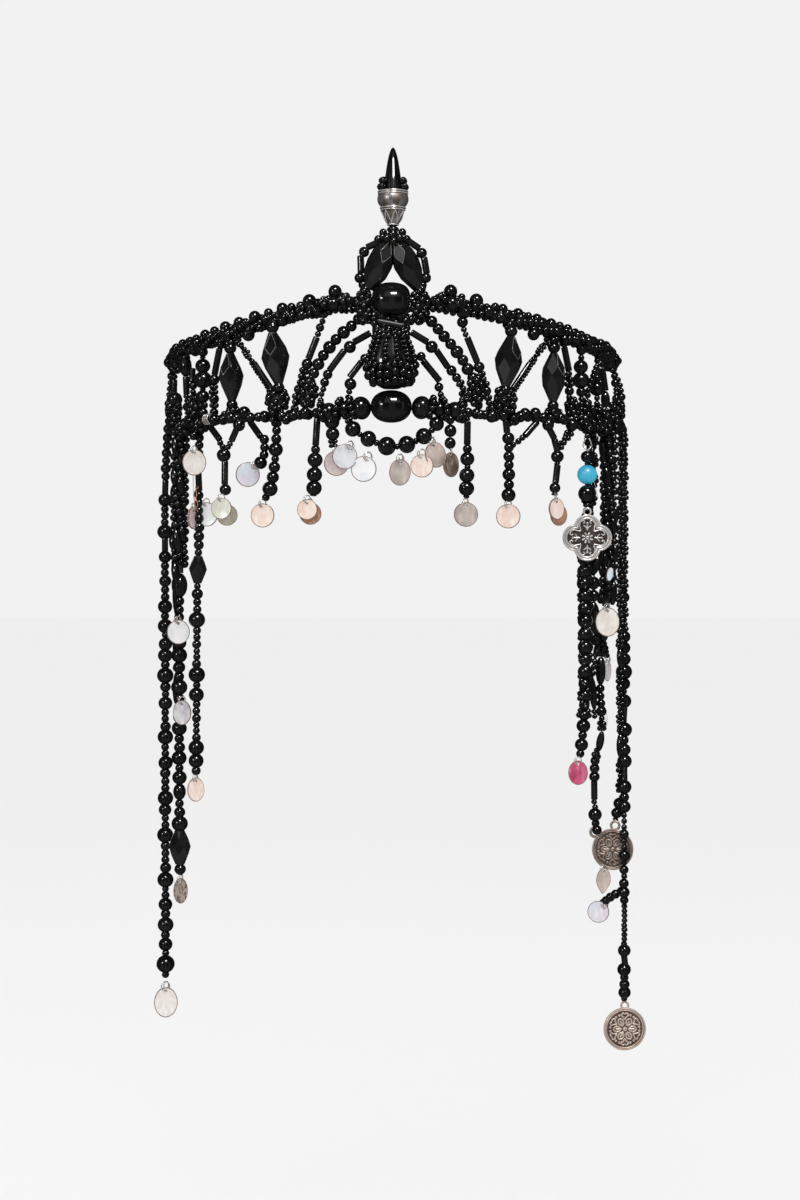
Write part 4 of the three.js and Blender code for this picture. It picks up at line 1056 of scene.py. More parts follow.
# The wrapped drop's outline: shares of its length from the foot and of its half-width.
PEAR = [
    (0, 0.26), (0.015, 0.36), (0.05, 0.5), (0.1, 0.62), (0.17, 0.73), (0.26, 0.82), (0.36, 0.87),
    (0.46, 0.88), (0.58, 0.81), (0.7, 0.71), (0.82, 0.61), (0.92, 0.54), (0.98, 0.48), (1, 0.36),
]
SEED_LINES = 12
# Where each upright row of seed beads on the wrapped drop passes, as shares of its height.
LINE_SHARES = (0.97, 0.86, 0.74, 0.62, 0.5, 0.44)
# Rows of beads round the wrapped drop: share of its height, distance off it, radius.
PEAR_ROUNDS = [[0.97, 0.7, 1.1], [0.9, 0.6, 1.1], [0.38, 0.4, 1.35], [0.25, 0.5, 1.6], [0.12, 0.6, 1.5]]


def pear_point(share, turn, lift):
    """A point off the wrapped drop at a share of its height and an angle round it, 0 at the front."""
    half = WRAPPED_DROP["wide"] / 2 * np.interp(share, *zip(*PEAR))
    depth = half * WRAPPED_DROP["deep"] / WRAPPED_DROP["wide"] + lift
    angle = math.radians(turn)
    z = WRAPPED_DROP["foot"] + share * (WRAPPED_DROP["top"] - WRAPPED_DROP["foot"])
    out = -BAND_RADIUS - WRAPPED_DROP["out"]
    return np.array([CENTRE_X + (half + lift) * math.sin(angle), out - depth * math.cos(angle), z])


def add_cabochon():
    heap = Heap("cabochon")
    back = -BAND_RADIUS - CABOCHON["back"]
    wide, tall, deep = CABOCHON["wide"] / 2, CABOCHON["tall"] / 2, CABOCHON["deep"]
    rows = [(0, 0.93), (0.04, 0.98), (0.09, 1)]
    for degrees in range(6, 90, 5):
        latitude = math.radians(degrees)
        rows.append((0.09 + 0.91 * math.sin(latitude), math.cos(latitude)))
    points, faces = capped(rows, 56)
    x, y, out = points.T
    dome = np.stack([
        (1.3 * x - 0.3 * x**3) * wide + CENTRE_X,
        back - out * deep,
        y * tall + CABOCHON["z"] - 0.1 * out * deep,
    ], 1)
    heap.add("glass", dome, faces)
    # A row of seed beads round its lower half.
    for i in range(16):
        turn = math.radians(200 + 140 * i / 15)
        centre = [
            CENTRE_X + (wide + 0.5) * math.cos(turn), back - 0.6,
            CABOCHON["z"] + (tall + 0.5) * math.sin(turn),
        ]
        heap.place("seeds", "seed", centre, [-math.sin(turn), 0, math.cos(turn)], SEED_RADIUS, SEED / 2)
    heap.finish()


def add_wrapped_drop():
    heap = Heap("wrapped_drop")
    points, faces = capped(PEAR, 48)
    span = WRAPPED_DROP["top"] - WRAPPED_DROP["foot"]
    body = points * [WRAPPED_DROP["wide"] / 2, WRAPPED_DROP["deep"] / 2, span]
    body = body + [CENTRE_X, -BAND_RADIUS - WRAPPED_DROP["out"], WRAPPED_DROP["foot"]]
    heap.add("glass", body, faces)
    for i in range(SEED_LINES):
        turn = 15 + 360 * i / SEED_LINES
        line = Route([pear_point(share, turn, 0.5) for share in LINE_SHARES])
        seed_row(heap, line, radius=0.98)
    for share, lift, radius in PEAR_ROUNDS:
        around = []
        for turn in range(0, 361, 15):
            wave = 0.03 * math.sin(math.radians(5 * turn))
            around.append(pear_point(share + wave, turn, lift))
        seed_row(heap, Route(around), radius=radius)
    heap.finish()


def add_centre():
    add_cabochon()
    add_wrapped_drop()
    heap = Heap("oval_bead")
    barrel = [(along, (1 - abs(along) ** 2.25 * 0.965) ** (1 / 2.1)) for along in np.linspace(-1, 1, 27)]
    middle = [CENTRE_X, -BAND_RADIUS, OVAL_BEAD["z"]]
    tall, wide = OVAL_BEAD["tall"] / 2, OVAL_BEAD["wide"] / 2
    heap.place("glass", lathe(barrel, 44, closed=True), middle, [1, 0, 0], tall, wide)
    heap.finish()

    heap = Heap("centre_bugle")
    line = Route([station(-3.5, 28.6, 6.6), station(1.7, 27, 6.6)])
    middle, along, _ = line.at(line.length / 2)
    heap.place("matt_bugle", "bugle", middle, along, 0.85, line.length / 2)
    tuft(heap, np.array([CENTRE_X, -BAND_RADIUS - 0.2, 29.4]), (7, 2.2, 2.2))
    tuft(heap, np.array([CENTRE_X, -BAND_RADIUS - 0.4, 26.8]), (5.6, 2.6, 1.4))
    heap.finish()


# Crest.
CREST_X = -0.6
SPIKE = {"foot": 73.9, "tip": 88.7, "width": 6, "lean": 0.17}
CAP_FOOT = 61.6
# Heights above the cap's foot and radii of its outside.
CAP_OUTSIDE = [
    (0, 1.55), (0.15, 1.9), (0.6, 2), (0.8, 1.9), (1.3, 2.35), (2.6, 3.05), (4, 3.55), (5, 3.95), (5.25, 4.2),
    (5.45, 4.2), (5.6, 4.0), (5.8, 4.35), (6.05, 4.4), (6.3, 4.35), (6.45, 4.15), (6.7, 4.35), (7.2, 4.8),
    (7.9, 5.15), (8.7, 5.33), (9.5, 5.3), (10.3, 5.1), (10.7, 4.95), (10.85, 5.12), (11.1, 5.18), (11.3, 5),
    (11.42, 5.1), (11.7, 5.15), (11.9, 5.05),
]
CAP_INSIDE = [(11.95, 4.7), (11.2, 4.45), (9, 4.5), (6, 3.6), (2, 1.6)]
CAP_SIDES = 84
FLUTES = 14
FLUTED = 4.6  # height above the cap's foot over which its cone is fluted
# Heights of the bright ridges above the cap's foot.
CAP_LINES = (0.3, 5.35, 6.05, 10.9, 11.6)
# Beads in the cluster under the cap: [x, y offset, z, diameter].
CLUSTER_BEADS = [
    [-3.9, -0.6, 59.2, 2.7], [2.6, -0.6, 59.3, 2.7], [-0.6, -1.4, 58.4, 3.6], [-5.6, 0, 57, 2.8],
    [4.1, 0, 57, 2.8], [-2.7, -2.4, 57, 2.8], [1.7, -2.4, 57.1, 2.8], [-3.4, 2, 58.2, 3],
    [2.4, 2, 58.2, 3], [-0.6, 2.8, 57.2, 3.2], [-0.4, -3, 56, 2.6], [-4.2, -1, 57.6, 2.4],
    [3, -1, 57.4, 2.4],
]
CREST_DROPS = [
    ["crest_drop_left", [-1.7, 56.6], [-8.9, 40.2], -14],
    ["crest_drop_right", [0.3, 56.6], [8.1, 40.2], 16],
]
CREST_DROP_WIDTH = 9.5
CREST_DROP_END = 0.4
CREST_SIDES = [
    ["crest_side_left", "b5.4 o3.4 b6.4 o3.4 o2.8 1s",
     [[-3.4, 56.6], [-7.4, 52.4], [-8, 48], [-8.1, 43.7], [-6.8, 40.3]]],
    ["crest_side_right", "b5 o3.4 b5.8 o3.4 o2.8 1s",
     [[3, 56.8], [6.1, 52.8], [7.1, 48.5], [7.2, 43.8], [6, 40]]],
]
# The spike's outline: shares of its height and of its half-width.
SPIKE_OUTLINE = [
    (-0.12, 1), (0, 1), (0.16, 0.945), (0.33, 0.87), (0.49, 0.76), (0.66, 0.63), (0.8, 0.49), (0.9, 0.34),
    (0.955, 0.24), (0.985, 0.14), (1, 0.04),
]
# Rows of small beads at both sides of the spike's foot: height above it, distance out, diameter.
COLLAR = [[0.9, 4.25, 2.5], [3, 3.75, 2.4]]
COLLAR_TURNS = (-22, 8, 38, 68, 98, 128, 158, 188, 212)


def round_crest(reach, turn, z):
    """A point at a distance and a turn round the crest's upright axis."""
    return [CREST_X + reach * math.cos(turn), -BAND_RADIUS + reach * math.sin(turn), z]


def add_cap():
    heap = Heap("silver_cap")
    rows = [*CAP_OUTSIDE, *CAP_INSIDE]
    points = []
    for height, radius in rows:
        swell = 0.17 * math.sin(math.pi * min(1, height / FLUTED)) if height < 5 else 0
        for j in range(CAP_SIDES):
            turn = 2 * math.pi * j / CAP_SIDES
            reach = radius + swell * math.cos(FLUTES * turn / 2) ** 2
            points.append(round_crest(reach, turn, CAP_FOOT + height))
    heap.add("cap", points, skin(len(rows), CAP_SIDES, closed=True))
    # Bright ridges round the barrel and lines that meet in points on the cone.
    for height in CAP_LINES:
        reach = np.interp(height, *zip(*CAP_OUTSIDE))
        middle = round_crest(0, 0, CAP_FOOT + height)
        heap.place("cap_line", ring(48, 6, 0.13 / reach), middle, [0, 0, 1], reach + 0.02, reach + 0.02)
    for i in range(FLUTES):
        line = []
        for share in np.linspace(0, 1, 6):
            height = 0.9 + 4.1 * share
            turn = math.radians(-90 + 360 / FLUTES * (i + (share - 0.5) * (-1) ** i))
            reach = np.interp(height, *zip(*CAP_OUTSIDE)) + 0.12
            line.append(round_crest(reach, turn, CAP_FOOT + height))
        tube(heap, "cap_line", Route(line), 0.13, 5, 0.6)
    heap.finish()


def add_spike():
    heap = Heap("spike")
    half = SPIKE["width"] / 2
    tall = SPIKE["tip"] - SPIKE["foot"]
    points, faces = capped([(share * tall, reach * half) for share, reach in SPIKE_OUTLINE], 44)
    points[:, 1] += points[:, 2] * SPIKE["lean"]
    heap.add("glass", points + round_crest(0, 0, SPIKE["foot"]), faces)
    for rise, reach, width in COLLAR:
        for degrees in COLLAR_TURNS:
            turn = math.radians(degrees)
            centre = round_crest(reach, turn, SPIKE["foot"] + rise)
            along = [-math.sin(turn), math.cos(turn), 0.2]
            heap.place("glass", "small", centre, along, width / 2, width * 0.47)
    heap.finish()


def add_crest():
    add_cap()
    add_spike()
    depth = -BAND_RADIUS
    heap = Heap("crest_cluster")
    balls(heap, [[np.array([x, depth + y, z]), width] for x, y, z, width in CLUSTER_BEADS])
    heap.place("glass", "round", [CREST_X, depth - 0.4, 60.3], [0, 0, 1], 2.1, 1.15)
    heap.finish()
    for name, (top_x, top_z), (foot_x, foot_z), turn_to in CREST_DROPS:
        heap = Heap(name)
        top, foot = [top_x, depth, top_z], [foot_x, depth, foot_z]
        cut_drop(heap, top, foot, CREST_DROP_WIDTH, turn_to, CREST_DROP_END)
        lean = (foot_x - top_x) / (foot_z - top_z)
        heap.place("glass", "small", [foot_x - lean * 1.2, depth, foot_z - 1.2], [lean, 0, 1], 1.5, 1.2)
        heap.finish()
    for name, chart, stations in CREST_SIDES:
        heap = Heap(name)
        string(heap, chart, [station(*row) for row in stations])
        heap.finish()


# Short drops of the fringe: name, strings as [chart, stations], discs as [finish, disc].
# A disc is [angle, height, width, height of the disc, turn, out].
DROPS = [
    ["drop_1", [["o3 o3 1s", [[-56.4, "under", 0.8], [-55.6, -8.6, 2.6]]]],
     [["blush", [-56, -36.6, 7.6, 7.8, 66, 2.4]], ["white", [-55.2, -35.2, 8.4, 8.6, -12, -2.6]],
      ["ivory", [-54.6, -17, 8.4, 9.2, 10, 3]]]],
    ["drop_2", [
        ["b8 1s o4.6 b8.4 o3.8", [[-51, "under"], [-46, -12], [-45.4, -15], [-44.8, "disc"]]],
        ["b7.6 1s", [[-40, "under"], [-44, -12.4], [-45, -14.4]]]],
     [["cream", [-44.9, -33.6, 7.5, 7.5, -14, 1.8]], ["olive", [-46.4, -35.8, 7.4, 7.4, 10, -2.6]]]],
    ["drop_3", [["b8 o3.2 o3 o3 o4.2",
                 [[-36.9, "under"], [-32.2, -11], [-32.5, -13.4], [-32.6, -16.4], [-34.4, -19.4]]]],
     [["blue", [-37.2, -22.1, 8.6, 8.6, 18, 0.4], 52]]],
    ["drop_4", [["1p o3 o3.4 o4.7 o2.6 o3.8 o4 o5 o2.6",
                 [[-28.9, "under"], [-29.4, -18], [-31, -28], [-32.4, "disc"]]]],
     [["peach", [-32.9, -36.4, 8.3, 8.3, -10, 0]]]],
    ["drop_5", [["b9.6 o3 o4.9 1s o5 o5 1s", [[-18.4, "under"], [-18.8, -16], [-19.3, "disc"]]]],
     [["peach", [-20.4, -34.7, 7, 7, -8, 1.6]], ["copper", [-20.5, -36, 7.6, 7.6, 10, -1.4]]]],
    ["drop_6", [["o4.8 o4.4 2p", [[-14.8, "under"], [-14.4, "disc"]]]],
     [["blush", [-13.7, -19, 8.6, 8.6, 8, 0]]]],
    ["drop_7", [["o3 o3.9 o3.6", [[13, "under"], [13, "disc"]]]],
     [["bronze", [13.1, -19.5, 8.5, 8.5, 52, 0]]]],
    ["drop_8", [["1s b8.2 o3 o4.6 1s o4.9 o5 1s", [[17.2, "under"], [17.1, -22], [16.8, "disc"]]]],
     [["mauve", [16.8, -36.4, 8.4, 8.4, 10, 0]]]],
    ["drop_9", [
        ["b4.4 o4 o3.2 o3.6 o3.2 o4.2 o3.4 o4.6", [[27, "under"], [27.8, -12], [27.8, "disc"]]],
        ["b7.4 1s", [[36, "under"], [30.6, -10.8], [28.4, -12.8]]]],
     [["peach", [27.7, -36.8, 8.4, 8.4, -8, 0]]]],
    ["drop_10", [
        ["b6.8 b4.4 o4.2 1s b6.6 o3.6 1s", [[38.8, "under"], [42, -11.8], [42.4, -18], [41.4, "disc"]]],
        ["4p", [[48.6, "under"], [44.4, -10.6], [42.8, -12.4]]]],
     [["peach", [40.8, -33.9, 7.4, 7.4, 43, 1.8]], ["copper", [44.6, -35.8, 7.4, 7.6, 36, -2.4]]]],
]
SWAG_CHART = "2p o5.1 1s o5.2 1s o6 1s o5.6 1s o5.3 1s o4.8 1p"
SWAG_STATIONS = [
    [-11.4, -2.2], [-9.7, -7.4], [-5.8, -11], [-1.6, -13.4], [2.6, -12.9], [6.2, -10.4], [9.2, -7],
    [10.9, "under"],
]
SWAG_RING = 1.5
# Discs of the swag: finish, disc, roll.
SWAG_DISCS = [
    ["grey", [-11.5, -16.8, 8.7, 8.7, 12, 1.4], 42],
    ["white", [-7.2, -21, 8.8, 8.8, -8, 0], 28],
    ["mauve", [1.2, -22.2, 7.4, 9, 10, 0], 4],
    ["peach", [6.3, -20, 7.9, 7.9, -10, 0.6], 0],
    ["stone", [9.4, -16.2, 7.6, 8.8, 22, 0.4], -16],
]


def seated(rows, disc):
    """A string's stations as points, where a height of disc is just above the string's first disc."""
    end = disc[1] + disc[3] / 2 + HANGER_DROP if disc else None
    return [station(row[0], end if row[1] == "disc" else row[1], *row[2:]) for row in rows]


def add_wire_twist(heap):
    """A drawn-out thread between two discs, with two copper wires twisted round it."""
    line = Route([station(-54.9, -21, 3.2), station(-55.2, -27, 2.8), station(-55.2, -33, 2.4)])
    tube(heap, "pale_edge", line, 0.16, 5)
    for x in (-0.5, 0.6):
        twist = Route([
            station(-54.9, -25.4, 1.6) + [x, 0, 0], station(-55.1, -28.4, 2.2) - [x, 0, 0],
            station(-54.7, -31.4, 2.2) + [x, 0, 0], station(-55, -34.4, 1.8) - [x, 0, 0],
        ])
        tube(heap, "copper_wire", twist, 0.22, 5, 0.6)


def add_fringe():
    for name, strings, discs in DROPS:
        heap = Heap(name)
        for chart, rows in strings:
            string(heap, chart, seated(rows, discs[0][1]))
        for row in discs:
            hang_disc(heap, *row)
        if name == "drop_1":
            add_wire_twist(heap)
        heap.finish()
    heap = Heap("swag")
    string(heap, SWAG_CHART, [station(*row) for row in SWAG_STATIONS])
    for row in SWAG_DISCS:
        hang_disc(heap, *row, SWAG_RING)
    heap.finish()


# Long strands: name, strings as [chart, stations], discs at the foot, discs on the way down. A disc
# is [finish, disc, roll, radius of its rings].
STRANDS = [
    ["strand_left_outer",
     [["o3.4 o3.2 o3.4 o3 o3.6 o3 b5.4 o4.7 o2.8 o2.9 o2.8 o5.3 b5.2 o4.4 o3 o2.9 o4.2 o3 o3.1 o5 o3 "
       "o5.2 o2.6 o4.7 o5 o3.2 o5.7 o3.7 o2.7 o4.8 o2.8 o2.7 o3.7 o5.4 o2.8 o2.8 o5 o3.7 o3 o3 o5.4 o4.4 "
       "o2.7 o2.9 o5.6 o3.4 o2.9 o2.9 o3.9 o5.6 o2.4 o2.9 o4.8 o3.4 o5.5 o3.2 o4.8 o2.6 o6.3 o2.6",
       [[-84.8, "under", 0.6], [-84.8, -20, 1.4], [-84.8, -100, 1.5], [-84.8, -205.4, 1.4]]]],
     [["ivory", [-84.8, -214.6, 8.7, 11.2, 8, 1.3], 0, 1.7]], []],
    ["strand_left_middle",
     [["t6.8x53 l5.8x8.8 o3.4 o3.2 o3.4 o3 o3.2 o4.9 o5.4 o4.2 o3.4 o5.5 o3.6 o3.6 o4.2 o5.1 o3.3 o3.8 "
       "o5.1 o2.9 o4.9 l4.6x6 o3 o3.8 o5.5 c7.9x12.6 o3.9 1s",
       [[-66.6, "under", 0.2], [-67, -30, 0.4], [-67, -60, 0.4], [-67.2, -100, 0.4], [-67, "disc", 0.2]]],
      ["l3x11 o2.6 l3x13 2s l3x12 o2.6 l3x12 2s",
       [[-70.4, -46, 0], [-70.6, -80, 0], [-70, -108, 0]]]],
     [["grain", [-67, -170.4, 5.3, 9.2, 20, 0]]],
     [["white", [-60.6, -77, 8.2, 8.7, 14, 4.6]], ["lilac", [-63.8, -106, 7.1, 8.9, -20, 1]]]],
    ["strand_left_inner",
     [["o3 o3 o3 o3 o3 o3 b7.1 o3.2 o3 o3 o3.4 o3.6 o3.6 o3.4 o2.6 c6.4x9.9 o2.3 o3.8 o2.8 o2.9 o5.5 o2.8 "
       "o2.6 o3.1 o2.3 o2.5 o3.1 o5.5 o2.6 o5 o2.7 o2.7 o3.1 o2.3 o2.4 o3 o5.2 o5 o3.1",
       [[-56.8, "under", -1.2], [-56.7, -16, -0.6], [-56.4, -44, -0.4], [-56.6, -60, 0], [-57.3, "disc"]]]],
     [["peach", [-57.5, -133, 6.3, 8.5, 24, 0]]], []],
    ["strand_right_inner",
     [["13p o4.6 1p o5.2 o4.6 o4.8 o5 o4.6 o5 o5.2 o5 o5.2 o4.6 o5 o4.4 o4.6 o3.6 o3.8 o4.6 o3 o4.4 o2.8",
       [[57.4, "under", -1], [57.8, -24, -1.5], [56.4, -38, -2], [54, -52, -1], [53.3, -80, 0],
        [52.6, -108, 0], [50.9, "disc"]]]],
     [["pink", [50.2, -126.4, 7, 8.6, -16, 0]]], []],
    ["strand_right_middle",
     [["t6.8x64 3p l4.4x8 3p l3.6x10 o3 o2.8 o3 o3.6 3p l2.8x9 2p o3.2 o3.4 o3.6 b7 2s o4.6 o2.8 o3.4",
       [[65.8, "under", 0.3], [65.8, -57], [61.6, -84], [60.8, -97], [61.6, -113], [66, -124, -5],
        [69.8, -146, -6.5], [71.2, -150.6, -6.2]]],
      ["l3x10 2s l2.8x12 1s", [[63.6, -78, -1.2], [58.4, -92, -1.2], [59.4, -108, -1.2]]],
      ["o3 l4x8 o4 o3.6 l4.4x9 o3.4", [[63.4, -45, 0], [59.6, -53, -1], [58.6, -66, -1], [60, -82, -1]]],
      ["o2.4 o2.4 o2.4 1s", [[63, -79, -0.6], [65.4, -82.6, -1], [67.4, -86.4, -1]]]],
     [],
     [["ivory", [57.8, -73.4, 8.8, 10.4, 8, 5]], ["lilac", [67.4, -91, 2.8, 8, 0, -1]],
      ["white", [63.4, -108.6, 6, 7, 60, -0.6]]]],
    ["strand_right_outer",
     [["14p o3.4 12p o4 5p o4.4 o4.6 o4.6 o5.6 o4.4 1s o5 b6 o5.2 o3.4 o4.4 o5 b5 o5 o3.4 o4.4 "
       "3s o3.4 2s o4 1s o3.2 1s o3.4 o4 o3 8s o4.4 b4 o4.7 o3 o3.6 o4.3 1s",
       [[82, "under", 1.2], [81.2, -70, 1.3], [79, -100, 1.6], [75.8, -126, 2.3], [73.2, -142, 3],
        [72.2, -154, 3.3], [73, -168, 3], [76, -184, 2.3], [80.4, -200, 1.5], [84.8, -214.4, 1.3]]],
      ["26p 2p o3 2p l3x8 2p o3.2 6p l3x9 5p",
       [[78, "under", 1], [78, -60, 0.6], [77.4, -90, 0.6], [76.4, -112, 0.8], [75.4, -136, 1]]],
      ["1p o4.2 o3.8 1s", [[75.8, -137, 1.6], [75.6, -142], [75.6, -146.4, -1]]],
      ["o3 o3.2 o3.2 o3 1s", [[74, -171, 2.6], [75.6, -173.8, -2], [78.4, -177, -6.6]]]],
     [],
     [["blue", [77.6, -180, 8, 8, -14, -7.6], 60]]],
]


def add_strands():
    for name, strings, feet, branches in STRANDS:
        heap = Heap(name)
        for chart, rows in strings:
            route = string(heap, chart, seated(rows, feet[0][1] if feet else None))
        if name == "strand_right_inner":
            # Two rows of seed beads wound round most of it.
            for phase in (0, 180):
                wound_row(heap, route, 0.5, route.length * 0.88, 1.7, 14, phase, ROPE_SEED_RADIUS)
        for row in [*feet, *branches]:
            hang_disc(heap, *row)
        if name == "strand_right_middle":
            # A splinter of iridescent shell between the beads.
            shell(heap, "blue", on_band(59.9, -56.4, 4.2), 2.6, 5, 30, 14, hole=False)
        heap.finish()


# Charm on its string.
CHARM = {"angle": 52, "out": 2}
TURQUOISE = {"z": -21.4, "width": 7, "tall": 6.7}
# Beads of the charm's string: distance below the rail's seat, diameter, length.
CHARM_BEADS = [[11.2, 4.6, 4.2], [19.6, 3, 1.4], [24.2, 6.4, 6], [28.1, 3, 1.6]]
CHARM_STRING_LENGTH = 29.2
# The four-lobed charm. The lobes' radius is a share of its width, and its middle is this far below
# the foot of its string.
QUATREFOIL = {"wide": 17.5, "tall": 16.4, "lobe": 0.27, "drop": 10.576}
# Its plate from the back to its floor: finish, rows of [inset from the outline, depth]. No inset is
# the middle.
QUATREFOIL_PLATES = [
    ["cast", [[None, 0], [0.35, 0], [0, 0.25], [0, 0.85], [0.12, 1.1], [0.35, 1.2], [0.62, 1.12],
              [0.78, 0.9]]],
    ["umber", [[0.78, 0.9], [0.92, 0.86]]],
    ["cast", [[0.92, 0.86], [1.08, 1.08], [1.3, 1.16], [1.55, 1.06], [1.7, 0.45]]],
    ["recess", [[1.7, 0.45], [None, 0.45]]],
]
# Raised lines of a lobe: radius, points as [out from the charm's middle, sideways].
SCROLL = [0.26, [[2.4, 2.3], [3.5, 2.5], [4.6, 2.75], [5.7, 2.3], [6.1, 1.4], [5.5, 0.9], [5, 1.4]]]
LEAFLET = [0.24, [[3.2, 0], [3.9, 0.75], [4.3, 1.3]]]
STEM = [0.26, [[2.6, 0], [3.6, 0], [4.7, 0]]]
MOTIF_DEPTH = 0.75


def charm_seat():
    return station(CHARM["angle"], "under", CHARM["out"])


def add_charm_string():
    seat = charm_seat()
    heap = Heap("charm_string")
    for down, width, length in CHARM_BEADS:
        heap.place("glass", "round", seat - [0, 0, down], [0, 0, 1], width / 2, length / 2)
    route = Route([seat - [0, 0, 9], seat - [0, 0, 18], seat - [0, 0, CHARM_STRING_LENGTH]])
    tube(heap, "thread", route, 0.42)
    hook = on_band(CHARM["angle"], bottom_rail(CHARM["angle"]) - 0.6, 1.4)
    seed_row(heap, Route([hook, seat + [0.4, -0.4, -2.4], seat + [-0.2, -0.4, -5]]))
    # A loop of silver wire from two bent ends, and a loose end beside the beads.
    for side in (-1, 1):
        loop = Route([
            seat + [side * 0.2, -0.6, -4.4], seat + [side * 1.1, -0.9, -5.8], seat + [side * 1.5, -0.5, -7.4],
            seat + [side * 0.3, -0.9, -8.8], seat + [-side * 0.9, -0.5, -9.6],
        ])
        tube(heap, "wire", loop, 0.24, 6, 0.5)
    loose = Route([seat + [1.2, -1.4, -18.2], seat + [2.5, -1.8, -20.8], seat + [3.5, -1.6, -25.4]])
    tube(heap, "wire", loose, 0.11, 5, 0.7)
    heap.finish()

    heap = Heap("turquoise_bead")
    bead = lathe([(along, max(radius, 0.24)) for along, radius in arc(20, 76)], 44, closed=True)
    centre = [seat[0], seat[1], TURQUOISE["z"]]
    heap.place("turquoise", bead, centre, [0, 0, 1], TURQUOISE["width"] / 2, TURQUOISE["tall"] / 2)
    heap.finish()


def lobe_outline(inset):
    """The outline of four overlapping round lobes, as points round it."""
    if inset is None:
        return lobe_outline(0) * 0.001
    radius = QUATREFOIL["wide"] * QUATREFOIL["lobe"] - inset
    reach_x = QUATREFOIL["wide"] * (0.5 - QUATREFOIL["lobe"])
    reach_z = QUATREFOIL["tall"] / 2 - QUATREFOIL["wide"] * QUATREFOIL["lobe"]
    centres = [(reach_x, 0), (0, reach_z), (-reach_x, 0), (0, -reach_z)]
    outline = []
    for direction in circle(96):
        best = 0
        for centre in centres:
            along = float(np.dot(direction, centre))
            inside = along**2 - (np.dot(centre, centre) - radius**2)
            if inside > 0:
                best = max(best, along + math.sqrt(inside))
        outline.append(direction * best)
    return np.array(outline)


def plates(heap, table, outline_at):
    """Plates from rows of [inset, depth in front], joined row to row."""
    for finish_name, rows in table:
        rings = []
        for inset, depth in rows:
            outline = outline_at(inset)
            rings.append(np.stack([outline[:, 0], np.full(len(outline), -depth), outline[:, 1]], 1))
        heap.add(finish_name, np.concatenate(rings), skin(len(rings), len(rings[0])))


def raised_line(heap, finish_name, line, depth, radius, place=(0, 0, 0)):
    """A raised line of cast metal on a plate, through points as [x, z]."""
    tube(heap, finish_name, Route([np.array([x, -depth, z]) + place for x, z in line]), radius, 8, 0.35)


def add_quatrefoil():
    heap = Heap("quatrefoil_charm")
    place = charm_seat() - [0, 0, CHARM_STRING_LENGTH + QUATREFOIL["drop"]]
    plates(heap, QUATREFOIL_PLATES, lobe_outline)
    heap.move(place)
    # A rosette in the middle, a three-leaved bud in every lobe and a scroll at either side of it.
    for i in range(8):
        turn = 2 * math.pi * (i + 0.5) / 8
        petal = [(math.cos(turn) * r, math.sin(turn) * r) for r in (0.9, 1.5, 2.0)]
        raised_line(heap, "cast", petal, MOTIF_DEPTH, 0.34, place)
    for i in range(4):
        cos, sin = math.cos(math.pi / 2 * i), math.sin(math.pi / 2 * i)
        for side, (radius, line) in ((-1, SCROLL), (-1, LEAFLET), (1, SCROLL), (1, LEAFLET), (1, STEM)):
            turned = [(x * cos - side * z * sin, x * sin + side * z * cos) for x, z in line]
            raised_line(heap, "cast", turned, MOTIF_DEPTH, radius, place)
        knob = place + [5.1 * cos, -MOTIF_DEPTH - 0.05, 5.1 * sin]
        heap.place("cast", "small", knob, [0, 1, 0], 0.42, 0.35)
    heap.place("cast", "small", place - [0, MOTIF_DEPTH + 0.1, 0], [0, 1, 0], 0.72, 0.55)
    bail = place + [0, -0.6, QUATREFOIL["tall"] / 2 + 0.95]
    heap.place("cast", "bail_ring", bail, [0.1, 1, 0], 1.25, 1.25)
    heap.finish()


# Cast medallions: name, angle, height, width, turn, out, finish, rings as [x, height above the
# middle, radius].
MEDALLIONS = [
    ["medallion_upper", 73.8, -156.4, 15, -6, -1.4, "dull_coin", [[0.9, 8.7, 1.5], [-6.4, 6.2, 1.7]]],
    ["medallion_lower", 84.8, -224.4, 15.8, 6, 1.3, "coin", [[0, 8.7, 1.3]]],
]
# A medallion's plate from the back to its floor: rows of [inset from its edge, depth], in its own
# finish and in umber by turns. No inset is the middle.
MEDALLION_PLATES = [
    [[None, 0], [0.25, 0], [0, 0.25], [0, 1], [0.15, 1.25], [0.4, 1.3], [0.62, 1.2]],
    [[0.62, 1.2], [0.74, 1]],
    [[0.74, 1], [0.9, 1.22], [1.1, 1.16], [1.25, 0.7]],
    [[1.25, 0.7], [None, 0.8]],
]
# The relief's lines, as [share of the radius, angle in radians], with their radius.
PETALS = 6
PETAL = [[0.17, 0], [0.3, 0.34], [0.43, 0.3], [0.54, 0], [0.43, -0.3], [0.3, -0.34], [0.17, 0]]
VEIN = [[0.2, 0], [0.32, 0], [0.44, 0]]
CURL = [[0.44, 0], [0.56, 0.12], [0.68, 0.26], [0.75, 0.12], [0.7, 0.02]]
RELIEF_DEPTH = 0.85
LEAF = {"middle": [75.7, -25.4, -167.6], "wide": 5.3, "tall": 9.4}


